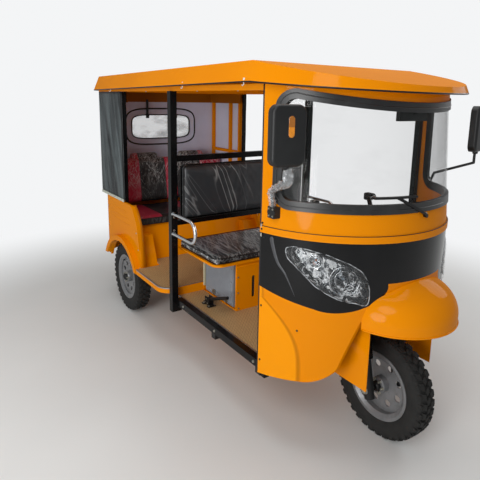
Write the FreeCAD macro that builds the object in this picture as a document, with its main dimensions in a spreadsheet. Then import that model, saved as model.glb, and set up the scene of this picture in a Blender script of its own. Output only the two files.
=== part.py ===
import FreeCAD, Part
import math
import os

import Sketcher
from FreeCAD import Placement, Rotation, Vector

# A passenger auto rickshaw with a hard roof: one steered front wheel, a driven rear axle,
# a bench for passengers behind and a wide driver's seat in front, open on both sides.
# Millimetres. X forward, Y to the vehicle's left, Z up from the ground.
# Each size is one cell of the sheet. Columns: alias, value.
SIZES = (
    # wheels and axles
    ("rear_axle_x", -930), ("wheelbase", 2080), ("track", 1012), ("axle_z", 267),
    ("tyre_r", 267), ("tyre_w", 108), ("tyre_bead_r", 168), ("rim_lip_r", 176), ("rim_w", 84),
    ("rim_wall", 5), ("tread_half", 36), ("tread_crown", 3), ("tread_shoulder", 14), ("hub_r", 42), ("hub_w", 92), ("disc_hole_r", 17),
    ("disc_hole_pcr", 100), ("disc_holes", 8), 
    ("seat_gap", 0.3), ("bearing_gap", 0.05),
    ("axle_tube_r", 32), ("rear_stub_r", 20), ("diff_r", 92), ("diff_w", 150), ("diff_y", 40),
    ("motor_r", 78), ("motor_len", 230), ("brake_plate_r", 100), ("brake_plate_w", 10),
    ("wheel_side_gap", 8),
    # ladder frame
    ("frame_top", 350), ("rail_y", 300), ("rail_w", 40), ("rail_h", 50), ("rail_rear_x", -1330),
    ("rail_front_x", 860), ("step_x", -130), ("cross_w", 40), ("outrigger_h", 30),
    ("rear_frame_top", 405), ("sill_y", 520), ("tube", 40),
    ("spring_y", 360), ("spring_w", 50), ("spring_t", 24), ("spring_span", 780), ("spring_drop", 62),
    ("hanger_t", 30),
    # floors
    ("floor_t", 29), ("mat_t", 6), ("mat_edge", 12), ("front_floor_y", 498), ("front_floor_x", 1040),
    ("front_floor_end_y", 415), ("rear_floor_y", 608), ("rear_floor_corner", 100),
    ("rear_floor_x", -1408), ("wheel_bay_y", 412), ("wheel_bay_x", -588), ("riser_t", 4),
    # rear body
    ("body_y", 560), ("body_t", 18), ("body_top", 868), ("body_low", 366), ("body_rear_x", -1430),
    ("body_corner_r", 170), ("panel_joint_x", -1255), ("arch_r", 326), ("arch_x", -948), ("arch_z", 232),
    ("flare_w", 38), ("flare_out", 38), ("flare_low_z", 392), ("side_front_x", -590),
    ("side_shoulder_x", -782), ("side_shoulder_r", 150),
    # passenger bench
    ("bench_front_x", -815), ("bench_foot_x", -735), ("bench_deck_z", 700), ("bench_t", 6),
    ("bench_back_x", -1258), ("bay_top_z", 640), ("bay_front_x", -645),
    ("bay_front_top_x", -730),
    ("cushion_t", 62), ("cushion_front_over", 20), ("cushion_half", 530), ("cushion_back_x", -1270),
    ("back_bottom_z", 775), ("back_top_z", 1160), ("back_t", 90), ("back_lean", 8), ("back_half", 532),
    ("headrest_y", 225), ("headrest_w", 250), ("headrest_h", 45),
    # upper rear frame, curtains and window
    ("rear_x", -1438), ("curtain_y", 548), ("curtain_t", 6), ("curtain_low_z", 880), ("curtain_top_z", 1696),
    ("curtain_front_x", -908), ("frame_tube", 25), ("side_frame_z", 1180), ("side_frame_gap", 2),
    ("window_half", 330), ("window_low_z", 1250), ("window_top_z", 1560), ("window_round", 70),
    ("window_band", 55), ("window_t", 3),
    # posts, sills and roof
    ("post_x", -100), ("post_y", 545), ("post_w", 42), ("post_foot_z", 300), ("post_rear_x", -917),
    ("post_rear_w", 22), ("side_bar_rear_gap", 220), ("side_bar_front_gap", 69), ("front_post_w", 30), ("roof_rail", 28),
    ("roof_rail_z", 1696), ("bow_w", 24), ("roof_over", 30), ("roof_rear_x", -1472), ("roof_front_cx", 740),
    ("roof_base_z", 1680), ("roof_taper", 22), ("roof_corner_r", 70), ("roof_wall", 6),
    ("roof_rear_low", 1709), ("roof_mid_low", 1735), ("roof_front_low", 1682), ("roof_mid_x", 760),
    ("roof_rear_top", 1815), ("roof_peak_top", 1829), ("roof_front_top", 1690), ("roof_peak_x", 738),
    ("roof_reach", 1500),
    # front shell
    ("shell_cx", 740), ("shell_r", 565), ("shell_wall", 10), ("shell_rear_x", 836), ("waist_z", 1058),
    ("bead_h", 30), ("bead_out", 5), ("shell_top_z", 1724), ("cowl_top_cx", 667), ("cowl_spread", 17),
    ("band_rear_z", 797), ("band_low_z", 737), ("band_low_in", 155), ("band_turn_in", 60), ("band_turn_rise", 135),
    ("apron_rear_z", 345), ("apron_flat_x", 1062), ("apron_flat_z", 380), ("apron_turn_x", 1172),
    ("apron_turn_z", 468), ("apron_nose_x", 1226), ("apron_nose_z", 700), ("apron_turn_r", 150),
    # windshield
    ("glass_rear_x", 898), ("glass_low_z", 1183), ("glass_top_z", 1704), ("glass_nose_top_z", 1634),
    ("glass_corner_r", 84), ("seal_w", 42), ("seal_out", 6), ("seal_in", 12), ("glass_t", 5), ("glass_set", 3),
    # headlamps
    ("lamp_side_gap", 59), ("lamp_tip_z", 1010), ("lamp_side_drop", 33), ("lamp_belly_in", 86),
    ("lamp_belly_drop", 176), ("lamp_foot_in", 194), ("lamp_foot_drop", 208), ("lamp_nose_in", 225),
    ("lamp_nose_drop", 152), ("lamp_edge", 5), ("lens_out", 9), ("lens_t", 4),
    ("housing_deep", 95), ("housing_wall", 4), 
    
    # nose mudguard and front wheel bay
    ("nose_in", 135), ("nose_r", 290), ("nose_low_z", 664), ("nose_side_z", 705), ("nose_top_z", 892),
    ("nose_shoulder_r", 226), ("nose_shoulder_z", 818), ("nose_t", 6), ("nose_crown_r", 420), ("nose_bend_r", 140),
    ("bay_y", 240), ("bay_z", 690), ("bay_x", 852), ("bay_knee_z", 520), ("bay_knee_x", 985), ("bay_t", 5),
    # steering
    ("rake", 12), ("fork_trail", 40), ("leg_y", 105), ("leg_r", 17), ("slider_r", 25), ("slider_top", 200),
    ("leg_top", 350), ("spring_r", 37), ("spring_low", 175), ("clamp_t", 30), ("clamp_w", 60),
    ("axle_r", 10), ("lug_w", 44), ("stem_r", 15), ("head_r", 27), ("head_low", 425), ("head_len", 150),
    ("stem_top", 800), ("bar_r", 12), ("bar_half", 300), ("bar_mid_half", 90), ("bar_rise", 90), ("bar_back", 230),
    ("grip_r", 17), ("grip_len", 105), ("neck_foot_x", 700), ("neck_foot_y", 130),
    ("neck_foot_w", 90), ("neck_foot_t", 8), ("neck_r", 19), ("clamp_block", 50),
    # driver's place
    ("box_front_x", 277), ("box_rear_x", -125), ("box_half", 312), ("box_top_z", 690), ("box_t", 4),
    ("slot_y", -188), ("slot_w", 22), ("slot_low_z", 452), ("slot_top_z", 593),
    ("pan_front_x", 295), ("pan_rear_x", -190), ("pan_half", 470), ("pan_t", 14), ("pan_corner", 60),
    ("seat_t", 43), ("seat_inset", 6), ("seat_corner", 16), ("battery_front_x", 225), ("battery_rear_x", -112),
    ("battery_half", 300), ("battery_h", 285), 
    ("rest_x", -120), ("rest_t", 52), ("rest_half", 492), ("rest_h", 350),
    ("rest_rail_z", 872), ("rest_rail_h", 30), ("rest_panel_t", 8),
    ("rest_top_z", 1274), ("rest_top_h", 36), ("post_set", 8),
    # controls and fittings
    ("lever_x", 90), ("lever_y", -405), ("lever_len", 230), ("lever_tilt", 22), ("lever_r", 10),
    ("lever_foot_w", 26), ("lever_foot_t", 6), ("lever_block_h", 46),
    ("pedal_x", 740), ("pedal_y", -290), ("pedal_w", 70), ("pedal_h", 90),
    ("rail_bar_r", 10), ("grab_y", 554), ("rail_top_z", 951), ("rail_low_z", 823), ("rail_reach_x", 284),
    ("rail_bend_r", 70), ("rail_low_bend_r", 54),
    ("mirror_x", 1103), ("mirror_y", 650), ("mirror_z", 1520), ("mirror_w", 148), ("mirror_h", 240),
    ("mirror_t", 42), ("mirror_round", 34), ("mirror_turn", 12), ("arm_r", 7), ("arm_foot_x", 915),
    ("arm_foot_z", 1165), ("arm_foot_w", 46), ("arm_foot_h", 52), ("arm_foot_t", 26),
    ("dash_deep", 230), ("dash_top_z", 1120), ("dash_h", 190), ("dash_gap", 3), ("dash_half", 400),
    ("inner_mirror_x", 1190), ("inner_mirror_z", 1600), ("inner_mirror_w", 190), ("inner_mirror_h", 55),
    ("inner_mirror_t", 22), ("wiper_drop", 18), ("wiper_rise", 72), ("wiper_len", 265), ("wiper_near", 60),
    ("wiper_t", 9), ("wiper_reach", 400),
    ("tail_lamp_y", 420), ("tail_lamp_z", 690), ("tail_lamp_w", 90), ("tail_lamp_h", 190),
    ("tail_lamp_t", 26), ("bumper_z", 343), ("stay_half", 20), ("bumper_half", 430), ("bumper_r", 17), ("bumper_x", -1443),
)

doc = FreeCAD.newDocument("AutoRickshaw")
sheet = doc.addObject("Spreadsheet::Sheet", "Sizes")
for row, (alias, value) in enumerate(SIZES, start=1):
    sheet.set("A%d" % row, alias)
    sheet.set("B%d" % row, str(value))
    sheet.setAlias("B%d" % row, alias)
doc.recompute()


class Rule:
    """A size worked out from the sheet: its value now, and the text that binds a property to it."""

    def __init__(self, value, text):
        self.value = value
        self.text = text

    def joined(self, other, sign, value, swap=False):
        left, right = (as_rule(other), self) if swap else (self, as_rule(other))
        return Rule(value, "(%s %s %s)" % (left.text, sign, right.text))

    def __add__(self, other):
        return self.joined(other, "+", self.value + as_rule(other).value)

    def __radd__(self, other):
        return self.joined(other, "+", as_rule(other).value + self.value, swap=True)

    def __sub__(self, other):
        return self.joined(other, "-", self.value - as_rule(other).value)

    def __rsub__(self, other):
        return self.joined(other, "-", as_rule(other).value - self.value, swap=True)

    def __mul__(self, other):
        return self.joined(other, "*", self.value * as_rule(other).value)

    def __rmul__(self, other):
        return self.joined(other, "*", as_rule(other).value * self.value, swap=True)

    def __truediv__(self, other):
        return self.joined(other, "/", self.value / as_rule(other).value)

    def __neg__(self):
        return Rule(-self.value, "(0 - %s)" % self.text)


def as_rule(number):
    return number if isinstance(number, Rule) else Rule(float(number), repr(float(number)))


def root(rule):
    return Rule(math.sqrt(rule.value), "sqrt(%s)" % rule.text)


def tangent(rule):
    return Rule(math.tan(math.radians(rule.value)), "tan(%s * 1 deg)" % rule.text)


class Sizes:
    """Gives each cell of the sheet as a rule, by its alias."""

    def __getattr__(self, alias):
        return Rule(float(sheet.get(alias)), "Sizes." + alias)


s = Sizes()
NODES = {}
DOWN = Vector(0, 0, -1)
ACROSS = Vector(0, 1, 0)


def bind(item, **rules):
    for name, rule in rules.items():
        item.setExpression(name, as_rule(rule).text)


def place(item, x=0, y=0, z=0):
    for name, rule in (("x", x), ("y", y), ("z", z)):
        item.setExpression("Placement.Base." + name, as_rule(rule).text)
    return item


def turn(item, axis, angle):
    item.Placement.Rotation = Rotation(axis, as_rule(angle).value)
    item.setExpression("Placement.Rotation.Angle", as_rule(angle).text + " * 1 deg")
    return item


def piece(label, item):
    item.Label = label
    NODES[label] = item
    return item


def block(name, x, y, z):
    """A box from its low and high bound along each axis."""
    item = doc.addObject("Part::Box", name)
    bind(item, Length=as_rule(x[1]) - x[0], Width=as_rule(y[1]) - y[0], Height=as_rule(z[1]) - z[0])
    return place(item, x[0], y[0], z[0])


def rod(name, radius, length, x=0, y=0, z=0, along=None, angle=90):
    """A cylinder that starts at a point and runs up, or along another axis after a turn."""
    item = doc.addObject("Part::Cylinder", name)
    bind(item, Radius=radius, Height=length)
    place(item, x, y, z)
    return turn(item, along, angle) if along else item


def joined(name, *items):
    item = doc.addObject("Part::MultiFuse", name)
    item.Shapes = list(items)
    return item


def cut(name, base, *tools):
    for number, tool in enumerate(tools):
        item = doc.addObject("Part::Cut", "%s_%d" % (name, number))
        item.Base, item.Tool = base, tool
        base = item
    return base


def common(name, *items):
    item = doc.addObject("Part::MultiCommon", name)
    item.Shapes = list(items)
    return item


def mirrored(name, source):
    item = doc.addObject("Part::Mirroring", name)
    item.Source, item.Normal = source, ACROSS
    return item


def group(name, *items):
    item = doc.addObject("Part::Compound", name)
    item.Links = list(items)
    return item


def both_sides(name, source):
    return group(name, source, mirrored(name + "_left", source))


def origin_plane(body, role):
    return next(plane for plane in body.Origin.OriginFeatures if plane.Role == role)


def sketch_on(body, name, plane, start=0, shift_x=0):
    sketch = body.newObject("Sketcher::SketchObject", name)
    sketch.AttachmentSupport = [(origin_plane(body, plane + "_Plane"), "")]
    sketch.MapMode = "FlatFace"
    sketch.setExpression("AttachmentOffset.Base.x", as_rule(shift_x).text)
    sketch.setExpression("AttachmentOffset.Base.z", as_rule(start).text)
    return sketch


def draw(sketch, corners):
    """Draw a closed outline. A corner is (across, up) or (across, up, radius): the radius bends the
    edge to the next corner, about a centre on the left of the way round, or on the right if negative."""
    places = [(as_rule(corner[0]), as_rule(corner[1])) for corner in corners]
    first = sketch.GeometryCount
    starts, ends = [], []
    for number, corner in enumerate(corners):
        here, there = places[number], places[(number + 1) % len(corners)]
        begin = Vector(here[0].value, here[1].value, 0)
        finish = Vector(there[0].value, there[1].value, 0)
        bent = len(corner) > 2
        if bent:
            radius = as_rule(corner[2]).value
            half = (finish - begin) / 2
            height = math.sqrt(max(radius ** 2 - half.Length ** 2, 0)) * (1 if radius > 0 else -1)
            side = Vector(-half.y, half.x, 0).normalize()
            centre = begin + half + side * height
            low, high = (begin, finish) if radius > 0 else (finish, begin)
            span = [math.atan2(point.y - centre.y, point.x - centre.x) for point in (low, high)]
            circle = Part.Circle(centre, Vector(0, 0, 1), abs(radius))
            sketch.addGeometry(Part.ArcOfCircle(circle, span[0], span[1]), False)
        else:
            sketch.addGeometry(Part.LineSegment(begin, finish), False)
        swap = bent and as_rule(corner[2]).value < 0
        starts.append(2 if swap else 1)
        ends.append(1 if swap else 2)
    for number, corner in enumerate(corners):
        after = (number + 1) % len(corners)
        sketch.addConstraint(Sketcher.Constraint("Coincident", first + number, ends[number],
                                                 first + after, starts[after]))
        for way, rule in zip(("DistanceX", "DistanceY"), places[number]):
            link = sketch.addConstraint(Sketcher.Constraint(way, -1, 1, first + number,
                                                            starts[number], rule.value))
            sketch.setExpression("Constraints[%d]" % link, rule.text)
        if len(corner) > 2:
            radius = as_rule(corner[2])
            link = sketch.addConstraint(Sketcher.Constraint("Radius", first + number, abs(radius.value)))
            sketch.setExpression("Constraints[%d]" % link, (radius if radius.value > 0 else -radius).text)
    return sketch


def draw_circle(sketch, across, up, radius):
    across, up, radius = as_rule(across), as_rule(up), as_rule(radius)
    index = sketch.addGeometry(Part.Circle(Vector(across.value, up.value, 0), Vector(0, 0, 1), radius.value), False)
    for way, rule, ends in (("DistanceX", across, (-1, 1, index, 3)), ("DistanceY", up, (-1, 1, index, 3)),
                            ("Radius", radius, (index,))):
        link = sketch.addConstraint(Sketcher.Constraint(way, *ends, rule.value))
        sketch.setExpression("Constraints[%d]" % link, rule.text)
    return sketch


def plate(name, plane, start, depth, *outlines, taper=None):
    """A padded outline. It starts at a distance from the plane: up from XY, forward from YZ,
    and to the vehicle's right from XZ. Outlines after the first are holes."""
    body = doc.addObject("PartDesign::Body", name)
    sketch = sketch_on(body, name + "_outline", plane, start)
    for outline in outlines:
        draw(sketch, outline)
    pad = body.newObject("PartDesign::Pad", name + "_pad")
    pad.Profile = sketch
    bind(pad, Length=depth)
    if taper:
        pad.setExpression("TaperAngle", "(0 - %s) * 1 deg" % taper.text)
    return body


def spun(name, x, profile, y=0, plane="XZ", upright=True):
    """A profile of (distance from the axis, height) corners, spun about its own upright axis at x."""
    body = doc.addObject("PartDesign::Body", name)
    sketch = sketch_on(body, name + "_profile", plane, y, shift_x=x)
    draw(sketch, profile)
    spin = body.newObject("PartDesign::Revolution", name + "_spin")
    spin.Profile = sketch
    spin.ReferenceAxis = (sketch, ["V_Axis" if upright else "H_Axis"])
    spin.Angle = 360
    return body


def rounded_box(low_x, high_x, low_y, high_y, radius):
    """Corners of a rectangle with rounded corners, counter-clockwise."""
    return [(low_x, low_y + radius, radius), (low_x + radius, low_y), (high_x - radius, low_y, radius),
            (high_x, low_y + radius), (high_x, high_y - radius, radius), (high_x - radius, high_y),
            (low_x + radius, high_y, radius), (low_x, high_y - radius)]


# Ladder frame: two rails that step up behind the driver, cross members, outriggers under the sills,
# risers that carry the rear floor, and hangers for the leaf springs.
def chassis():
    inner, outer = s.rail_y - s.rail_w / 2, s.rail_y + s.rail_w / 2
    low = s.frame_top - s.rail_h
    rear_low = s.rear_frame_top - s.rail_h
    pieces = []
    for side, (near, far) in enumerate(((inner, outer), (-outer, -inner))):
        pieces.append(block("rail_front_%d" % side, (s.step_x - s.cross_w, s.rail_front_x), (near, far),
                            (low, s.frame_top)))
        pieces.append(block("rail_rear_%d" % side, (s.rail_rear_x, s.step_x), (near, far),
                            (rear_low, s.rear_frame_top)))
        pieces.append(block("rail_joint_%d" % side, (s.step_x - s.cross_w, s.step_x), (near, far),
                            (low, s.rear_frame_top)))
    for number, x in enumerate((s.rail_rear_x, s.bench_foot_x)):
        pieces.append(block("rear_cross_%d" % number, (x, x + s.cross_w), (-outer, outer),
                            (rear_low, s.rear_frame_top)))
    sill_out = s.sill_y + s.tube / 2
    for number, (x, reach) in enumerate(((s.post_x - s.cross_w / 2, s.post_y - s.post_w / 2),
                                         ((s.post_x + s.shell_rear_x) / 2, sill_out),
                                         (s.shell_rear_x - s.cross_w, sill_out))):
        pieces.append(block("outrigger_%d" % number, (x, x + s.cross_w), (-reach, reach),
                            (s.frame_top - s.outrigger_h, s.frame_top)))
    for number, x in enumerate((s.rear_axle_x - s.spring_span / 2, s.rear_axle_x + s.spring_span / 2)):
        reach = s.spring_y + s.spring_w / 2
        for side, (near, far) in enumerate(((outer, reach), (-reach, -outer))):
            base = s.axle_z + s.axle_tube_r + s.seat_gap + s.spring_drop + s.spring_t
            pieces.append(block("hanger_%d_%d" % (number, side), (x - s.hanger_t / 2, x + s.hanger_t / 2),
                                (near, far), (base, s.rear_frame_top)))
    return joined("chassis", *pieces)


# Leaf springs: one curved pack a side, seated on the axle tube and hung below the rails.
def leaf_springs():
    half = s.spring_span / 2 + s.hanger_t / 2
    seat = s.axle_z + s.axle_tube_r + s.seat_gap
    low_r = (half * half + s.spring_drop * s.spring_drop) / (2 * s.spring_drop)
    pack = plate("leaf_pack", "XZ", s.spring_y - s.spring_w / 2, s.spring_w,
                 [(s.rear_axle_x - half, seat + s.spring_drop, low_r), (s.rear_axle_x, seat, low_r),
                  (s.rear_axle_x + half, seat + s.spring_drop),
                  (s.rear_axle_x + half, seat + s.spring_drop + s.spring_t, -low_r),
                  (s.rear_axle_x, seat + s.spring_t, -low_r),
                  (s.rear_axle_x - half, seat + s.spring_drop + s.spring_t)])
    return both_sides("leaf_pair", pack)


def side_rod(name, radius, low_y, high_y, x, z):
    """A round bar along Y."""
    return rod(name, radius, high_y - low_y, x, high_y, z, along=Vector(1, 0, 0))


# Rear axle: tube with the differential and the motor, brake backing plates and the wheel stubs.
def rear_axle():
    plate_in = s.track / 2 - s.tyre_w / 2 - s.wheel_side_gap
    tube = side_rod("axle_tube", s.axle_tube_r, -plate_in, plate_in, s.rear_axle_x, s.axle_z)
    stubs = side_rod("axle_stubs", s.rear_stub_r, -s.track / 2, s.track / 2, s.rear_axle_x, s.axle_z)
    diff = side_rod("diff_case", s.diff_r, s.diff_y - s.diff_w / 2, s.diff_y + s.diff_w / 2,
                    s.rear_axle_x, s.axle_z)
    motor = side_rod("axle_motor", s.motor_r, s.diff_y - s.diff_w / 2 - s.motor_len,
                     s.diff_y - s.diff_w / 2, s.rear_axle_x + s.motor_r, s.axle_z)
    plates = []
    for side, (near, far) in enumerate(((plate_in - s.brake_plate_w, plate_in),
                                        (-plate_in, s.brake_plate_w - plate_in))):
        plates.append(side_rod("brake_plate_%d" % side, s.brake_plate_r, near, far, s.rear_axle_x, s.axle_z))
    return joined("rear_axle_all", tube, stubs, diff, motor, *plates)


# Floors: boards on the frame, a mat inset on each, and the step between them.
def front_floor():
    low = s.frame_top
    return plate("front_board", "XY", low, s.floor_t,
                 [(s.step_x, -s.front_floor_y), (s.shell_rear_x, -s.front_floor_y),
                  (s.front_floor_x, -s.front_floor_end_y), (s.front_floor_x, -s.bay_y - s.bay_t),
                  (s.bay_x - s.bay_t, -s.bay_y - s.bay_t), (s.bay_x - s.bay_t, s.bay_y + s.bay_t),
                  (s.front_floor_x, s.bay_y + s.bay_t), (s.front_floor_x, s.front_floor_end_y),
                  (s.shell_rear_x, s.front_floor_y), (s.step_x, s.front_floor_y)])


def rear_floor():
    r = s.rear_floor_corner
    board = plate("rear_board", "XY", s.rear_frame_top, s.floor_t,
                  [(s.rear_floor_x, -s.wheel_bay_y), (s.wheel_bay_x, -s.wheel_bay_y),
                   (s.wheel_bay_x, -s.rear_floor_y), (s.step_x - r, -s.rear_floor_y, r),
                   (s.step_x, r - s.rear_floor_y), (s.step_x, s.rear_floor_y - r, r),
                   (s.step_x - r, s.rear_floor_y), (s.wheel_bay_x, s.rear_floor_y),
                   (s.wheel_bay_x, s.wheel_bay_y), (s.rear_floor_x, s.wheel_bay_y)])
    front_top = s.frame_top + s.floor_t + s.mat_t
    riser = block("step_riser", (s.step_x, s.step_x + s.riser_t),
                  (r - s.rear_floor_y, s.rear_floor_y - r),
                  (front_top, s.rear_frame_top + s.floor_t + s.mat_t))
    return joined("rear_floor_all", board, riser)


def floor_mats():
    edge = s.mat_edge
    front = plate("front_mat", "XY", s.frame_top + s.floor_t, s.mat_t,
                  [(s.step_x + s.riser_t, edge - s.front_floor_y), (s.shell_rear_x, edge - s.front_floor_y),
                   (s.shell_rear_x, s.front_floor_y - edge), (s.step_x + s.riser_t, s.front_floor_y - edge)])
    r = s.rear_floor_corner - edge
    half = s.rear_floor_y - edge
    rear = plate("rear_mat", "XY", s.rear_frame_top + s.floor_t, s.mat_t,
                 [(s.bench_foot_x + s.bench_t + s.seat_gap, -s.wheel_bay_y),
                  (s.wheel_bay_x, -s.wheel_bay_y), (s.wheel_bay_x, -half),
                  (s.step_x - edge - r, -half, r), (s.step_x - edge, r - half),
                  (s.step_x - edge, half - r, r), (s.step_x - edge - r, half),
                  (s.wheel_bay_x, half), (s.wheel_bay_x, s.wheel_bay_y),
                  (s.bench_foot_x + s.bench_t + s.seat_gap, s.wheel_bay_y)])
    return group("mats", front, rear)


# Rear body: side panels with a rolled front edge and a flared wheel arch, and the back panel
# whose rounded corners they meet.
def body_shell(name):
    """The plan of the rear body, open at the front, as one wall."""
    inner_r = s.body_corner_r - s.body_t
    x, y, r, t = s.body_rear_x, s.body_y, s.body_corner_r, s.body_t
    return plate(name, "XY", s.body_low, s.body_top - s.body_low,
                 [(s.side_front_x, -y), (s.side_front_x, t - y), (x + r, t - y, -inner_r), (x + t, r - y),
                  (x + t, y - r, -inner_r), (x + r, y - t), (s.side_front_x, y - t), (s.side_front_x, y),
                  (x + r, y, r), (x, y - r), (x, r - y, r), (x + r, -y)])


def wheel_disc(name, radius, near, depth):
    """A disc across the vehicle's right side, about the middle of the wheel arch."""
    body = doc.addObject("PartDesign::Body", name)
    sketch = sketch_on(body, name + "_outline", "XZ", near)
    draw_circle(sketch, s.arch_x, s.arch_z, radius)
    pad = body.newObject("PartDesign::Pad", name + "_pad")
    pad.Profile = sketch
    bind(pad, Length=depth)
    return body


def side_panels():
    half = block("side_half", (s.panel_joint_x, 0), (-s.body_y, 0), (s.body_low, s.body_top))
    front_edge = plate("side_front_cut", "XZ", s.body_y / 2, s.body_y,
                       [(s.side_shoulder_x, s.body_top, -s.side_shoulder_r * 2),
                        (s.side_front_x - 60, s.bench_deck_z - 60), (s.side_front_x, s.body_low - 1),
                        (s.side_front_x + 50, s.body_low - 1), (s.side_front_x + 50, s.body_top + 50),
                        (s.side_shoulder_x, s.body_top + 50)])
    arch = wheel_disc("side_arch", s.arch_r, s.body_y / 2, s.body_y)
    wall = cut("side_wall", common("side_part", body_shell("side_plan"), half), front_edge, arch)
    flare_disc = wheel_disc("flare_disc", s.arch_r + s.flare_w, s.body_y - s.body_t, s.flare_out + s.body_t)
    flare_hole = wheel_disc("flare_hole", s.arch_r, s.body_y / 2, s.body_y)
    flare_band = block("flare_band", (s.arch_x - s.tyre_r * 2, s.arch_x + s.tyre_r * 2),
                       (-s.body_y - s.flare_out, s.body_t - s.body_y),
                       (s.flare_low_z, s.body_top))
    flare = common("flare", cut("flare_ring", flare_disc, flare_hole), flare_band)
    return both_sides("side_panel_pair", joined("side_panel_solid", wall, flare))


def back_panel():
    rear = block("back_half", (s.body_rear_x, s.panel_joint_x), (-s.body_y, s.body_y),
                 (s.body_low, s.body_top))
    arches = wheel_disc("back_arch", s.arch_r + s.flare_w, -s.body_y * 2, s.body_y * 4)
    return cut("back_wall", common("back_part", body_shell("back_plan"), rear), arches)


# Bench: a raked front panel and a deck, with a box over each wheel.
BENCH_HALF = s.body_y - s.body_t - s.seat_gap


def bench_box():
    floor = s.rear_frame_top + s.floor_t
    t = s.bench_t
    shell = plate("bench_shell", "XZ", -BENCH_HALF, 2 * BENCH_HALF,
                  [(s.bench_foot_x, floor), (s.bench_foot_x + t, floor), (s.bench_front_x + t, s.bench_deck_z),
                   (s.bench_back_x, s.bench_deck_z), (s.bench_back_x, s.bench_deck_z - t),
                   (s.bench_front_x, s.bench_deck_z - t)])
    bay = plate("wheel_bay", "XZ", s.wheel_bay_y, BENCH_HALF - s.wheel_bay_y,
                [(s.bay_front_x, floor), (s.bay_front_top_x, s.bay_top_z), (s.rear_floor_x, s.bay_top_z),
                 (s.rear_floor_x, s.body_low), (s.bay_front_x + 20, s.body_low)])
    hollow = plate("bay_hollow", "XZ", s.wheel_bay_y + t, BENCH_HALF,
                   [(s.bay_front_x - t, s.body_low - 1), (s.bay_front_x - t, floor),
                    (s.bay_front_top_x - t, s.bay_top_z - t), (s.rear_floor_x - 1, s.bay_top_z - t),
                    (s.rear_floor_x - 1, s.body_low - 1)])
    wall = cut("bay_wall", bay, hollow)
    front_only = block("bay_reach", (s.bench_back_x, 0), (-BENCH_HALF, 0), (0, s.bench_deck_z))
    right = common("bay_right", wall, front_only)
    open_shell = cut("bench_open", shell, hollow, mirrored("bay_hollow_left", hollow))
    return joined("bench_all", open_shell, right, mirrored("bay_left", right))


def bench_cushion():
    low = s.bench_deck_z + s.seat_gap
    front = s.bench_front_x + s.bench_t + s.cushion_front_over
    return plate("bench_pad", "XY", low, s.cushion_t,
                 rounded_box(s.cushion_back_x, front, -s.cushion_half, s.cushion_half, s.body_t))


def bench_backrest():
    """The raised backs stand in the middle of each seat."""
    low, high = s.back_bottom_z, s.back_top_z
    lean = tangent(s.back_lean) * (high - low)
    back = s.cushion_back_x - 30
    pad = plate("back_pad", "XZ", -s.back_half, 2 * s.back_half,
                [(back, low), (back + s.back_t, low), (back + s.back_t - lean, high), (back - lean, high)])
    raised = []
    for side, y in enumerate((s.headrest_y, -s.headrest_y)):
        raised.append(block("headrest_%d" % side, (back - lean, back - lean + s.back_t * 0.8),
                            (y - s.headrest_w / 2, y + s.headrest_w / 2), (high, high + s.headrest_h)))
    return joined("backrest_all", pad, *raised)


# Upper rear: side frames of square tube, curtains outside them, and the rear curtain's window.
def side_frame():
    y, t = s.curtain_y - s.side_frame_gap, s.frame_tube
    bars = []
    top = s.roof_rail_z
    rear = s.rear_x + s.curtain_t + s.side_frame_gap
    for number, x in enumerate((rear, s.post_rear_x - s.side_bar_rear_gap, s.post_rear_x - s.side_bar_front_gap)):
        bars.append(block("side_bar_%d" % number, (x, x + t), (-y, t - y), (s.body_top, top)))
    bars.append(block("side_bottom_bar", (rear, s.post_rear_x - s.post_rear_w / 2), (-y, t - y),
                      (s.side_frame_z, s.side_frame_z + t)))
    return both_sides("side_frame_pair", joined("side_frame_right", *bars))


def side_curtain():
    panel = block("side_curtain_right", (s.rear_x, s.curtain_front_x),
                  (-s.curtain_y - s.curtain_t, -s.curtain_y), (s.curtain_low_z, s.curtain_top_z))
    return both_sides("side_curtain_pair", panel)


def rear_curtain():
    y = s.curtain_y
    return plate("rear_curtain_sheet", "YZ", s.rear_x, s.curtain_t,
                 [(-y, s.curtain_low_z), (y, s.curtain_low_z), (y, s.curtain_top_z), (-y, s.curtain_top_z)],
                 rounded_box(s.window_band - s.window_half, s.window_half - s.window_band,
                             s.window_low_z + s.window_band, s.window_top_z - s.window_band,
                             s.window_round))


def rear_window():
    return plate("rear_window_pane", "YZ", s.rear_x + (s.curtain_t - s.window_t) / 2, s.window_t,
                 rounded_box(s.window_band - s.window_half, s.window_half - s.window_band,
                             s.window_low_z + s.window_band, s.window_top_z - s.window_band,
                             s.window_round))


# Posts and sills: square tube, painted black.
def cabin_posts():
    half = s.post_w / 2
    x, y = s.post_x, s.post_y
    post = block("post_right", (x - half, x + half), (-y - half, half - y), (s.post_foot_z, s.roof_rail_z))
    foot_in = s.sill_y - s.tube / 2
    foot = block("post_foot", (x - half, x + half), (half - y, -foot_in),
                 (s.post_foot_z, s.frame_top - s.outrigger_h))
    w, front_y = s.front_post_w, front_post_y()
    front = block("front_post_right", (s.shell_rear_x, s.shell_rear_x + w), (-front_y, w - front_y),
                  (s.frame_top - s.outrigger_h, s.roof_rail_z))
    half, rear_y = s.post_rear_w / 2, s.curtain_y - s.side_frame_gap
    rear = block("rear_post_right", (s.post_rear_x - half, s.post_rear_x + half), (-rear_y, s.post_rear_w - rear_y),
                 (s.body_top, s.roof_rail_z))
    return both_sides("post_pair", group("posts_right", joined("post_and_foot", post, foot), front, rear))


def sills():
    y, half = s.sill_y, s.tube / 2
    sill = block("sill_right", (s.post_x + s.post_w / 2, s.shell_rear_x), (-y - half, half - y),
                 (s.frame_top, s.frame_top + s.tube))
    return both_sides("sill_pair", sill)


def cowl_top_r():
    return s.shell_r + s.cowl_spread


def roof_half():
    return cowl_top_r() + s.roof_over


def shell_nose():
    return s.shell_cx + s.shell_r


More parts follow.
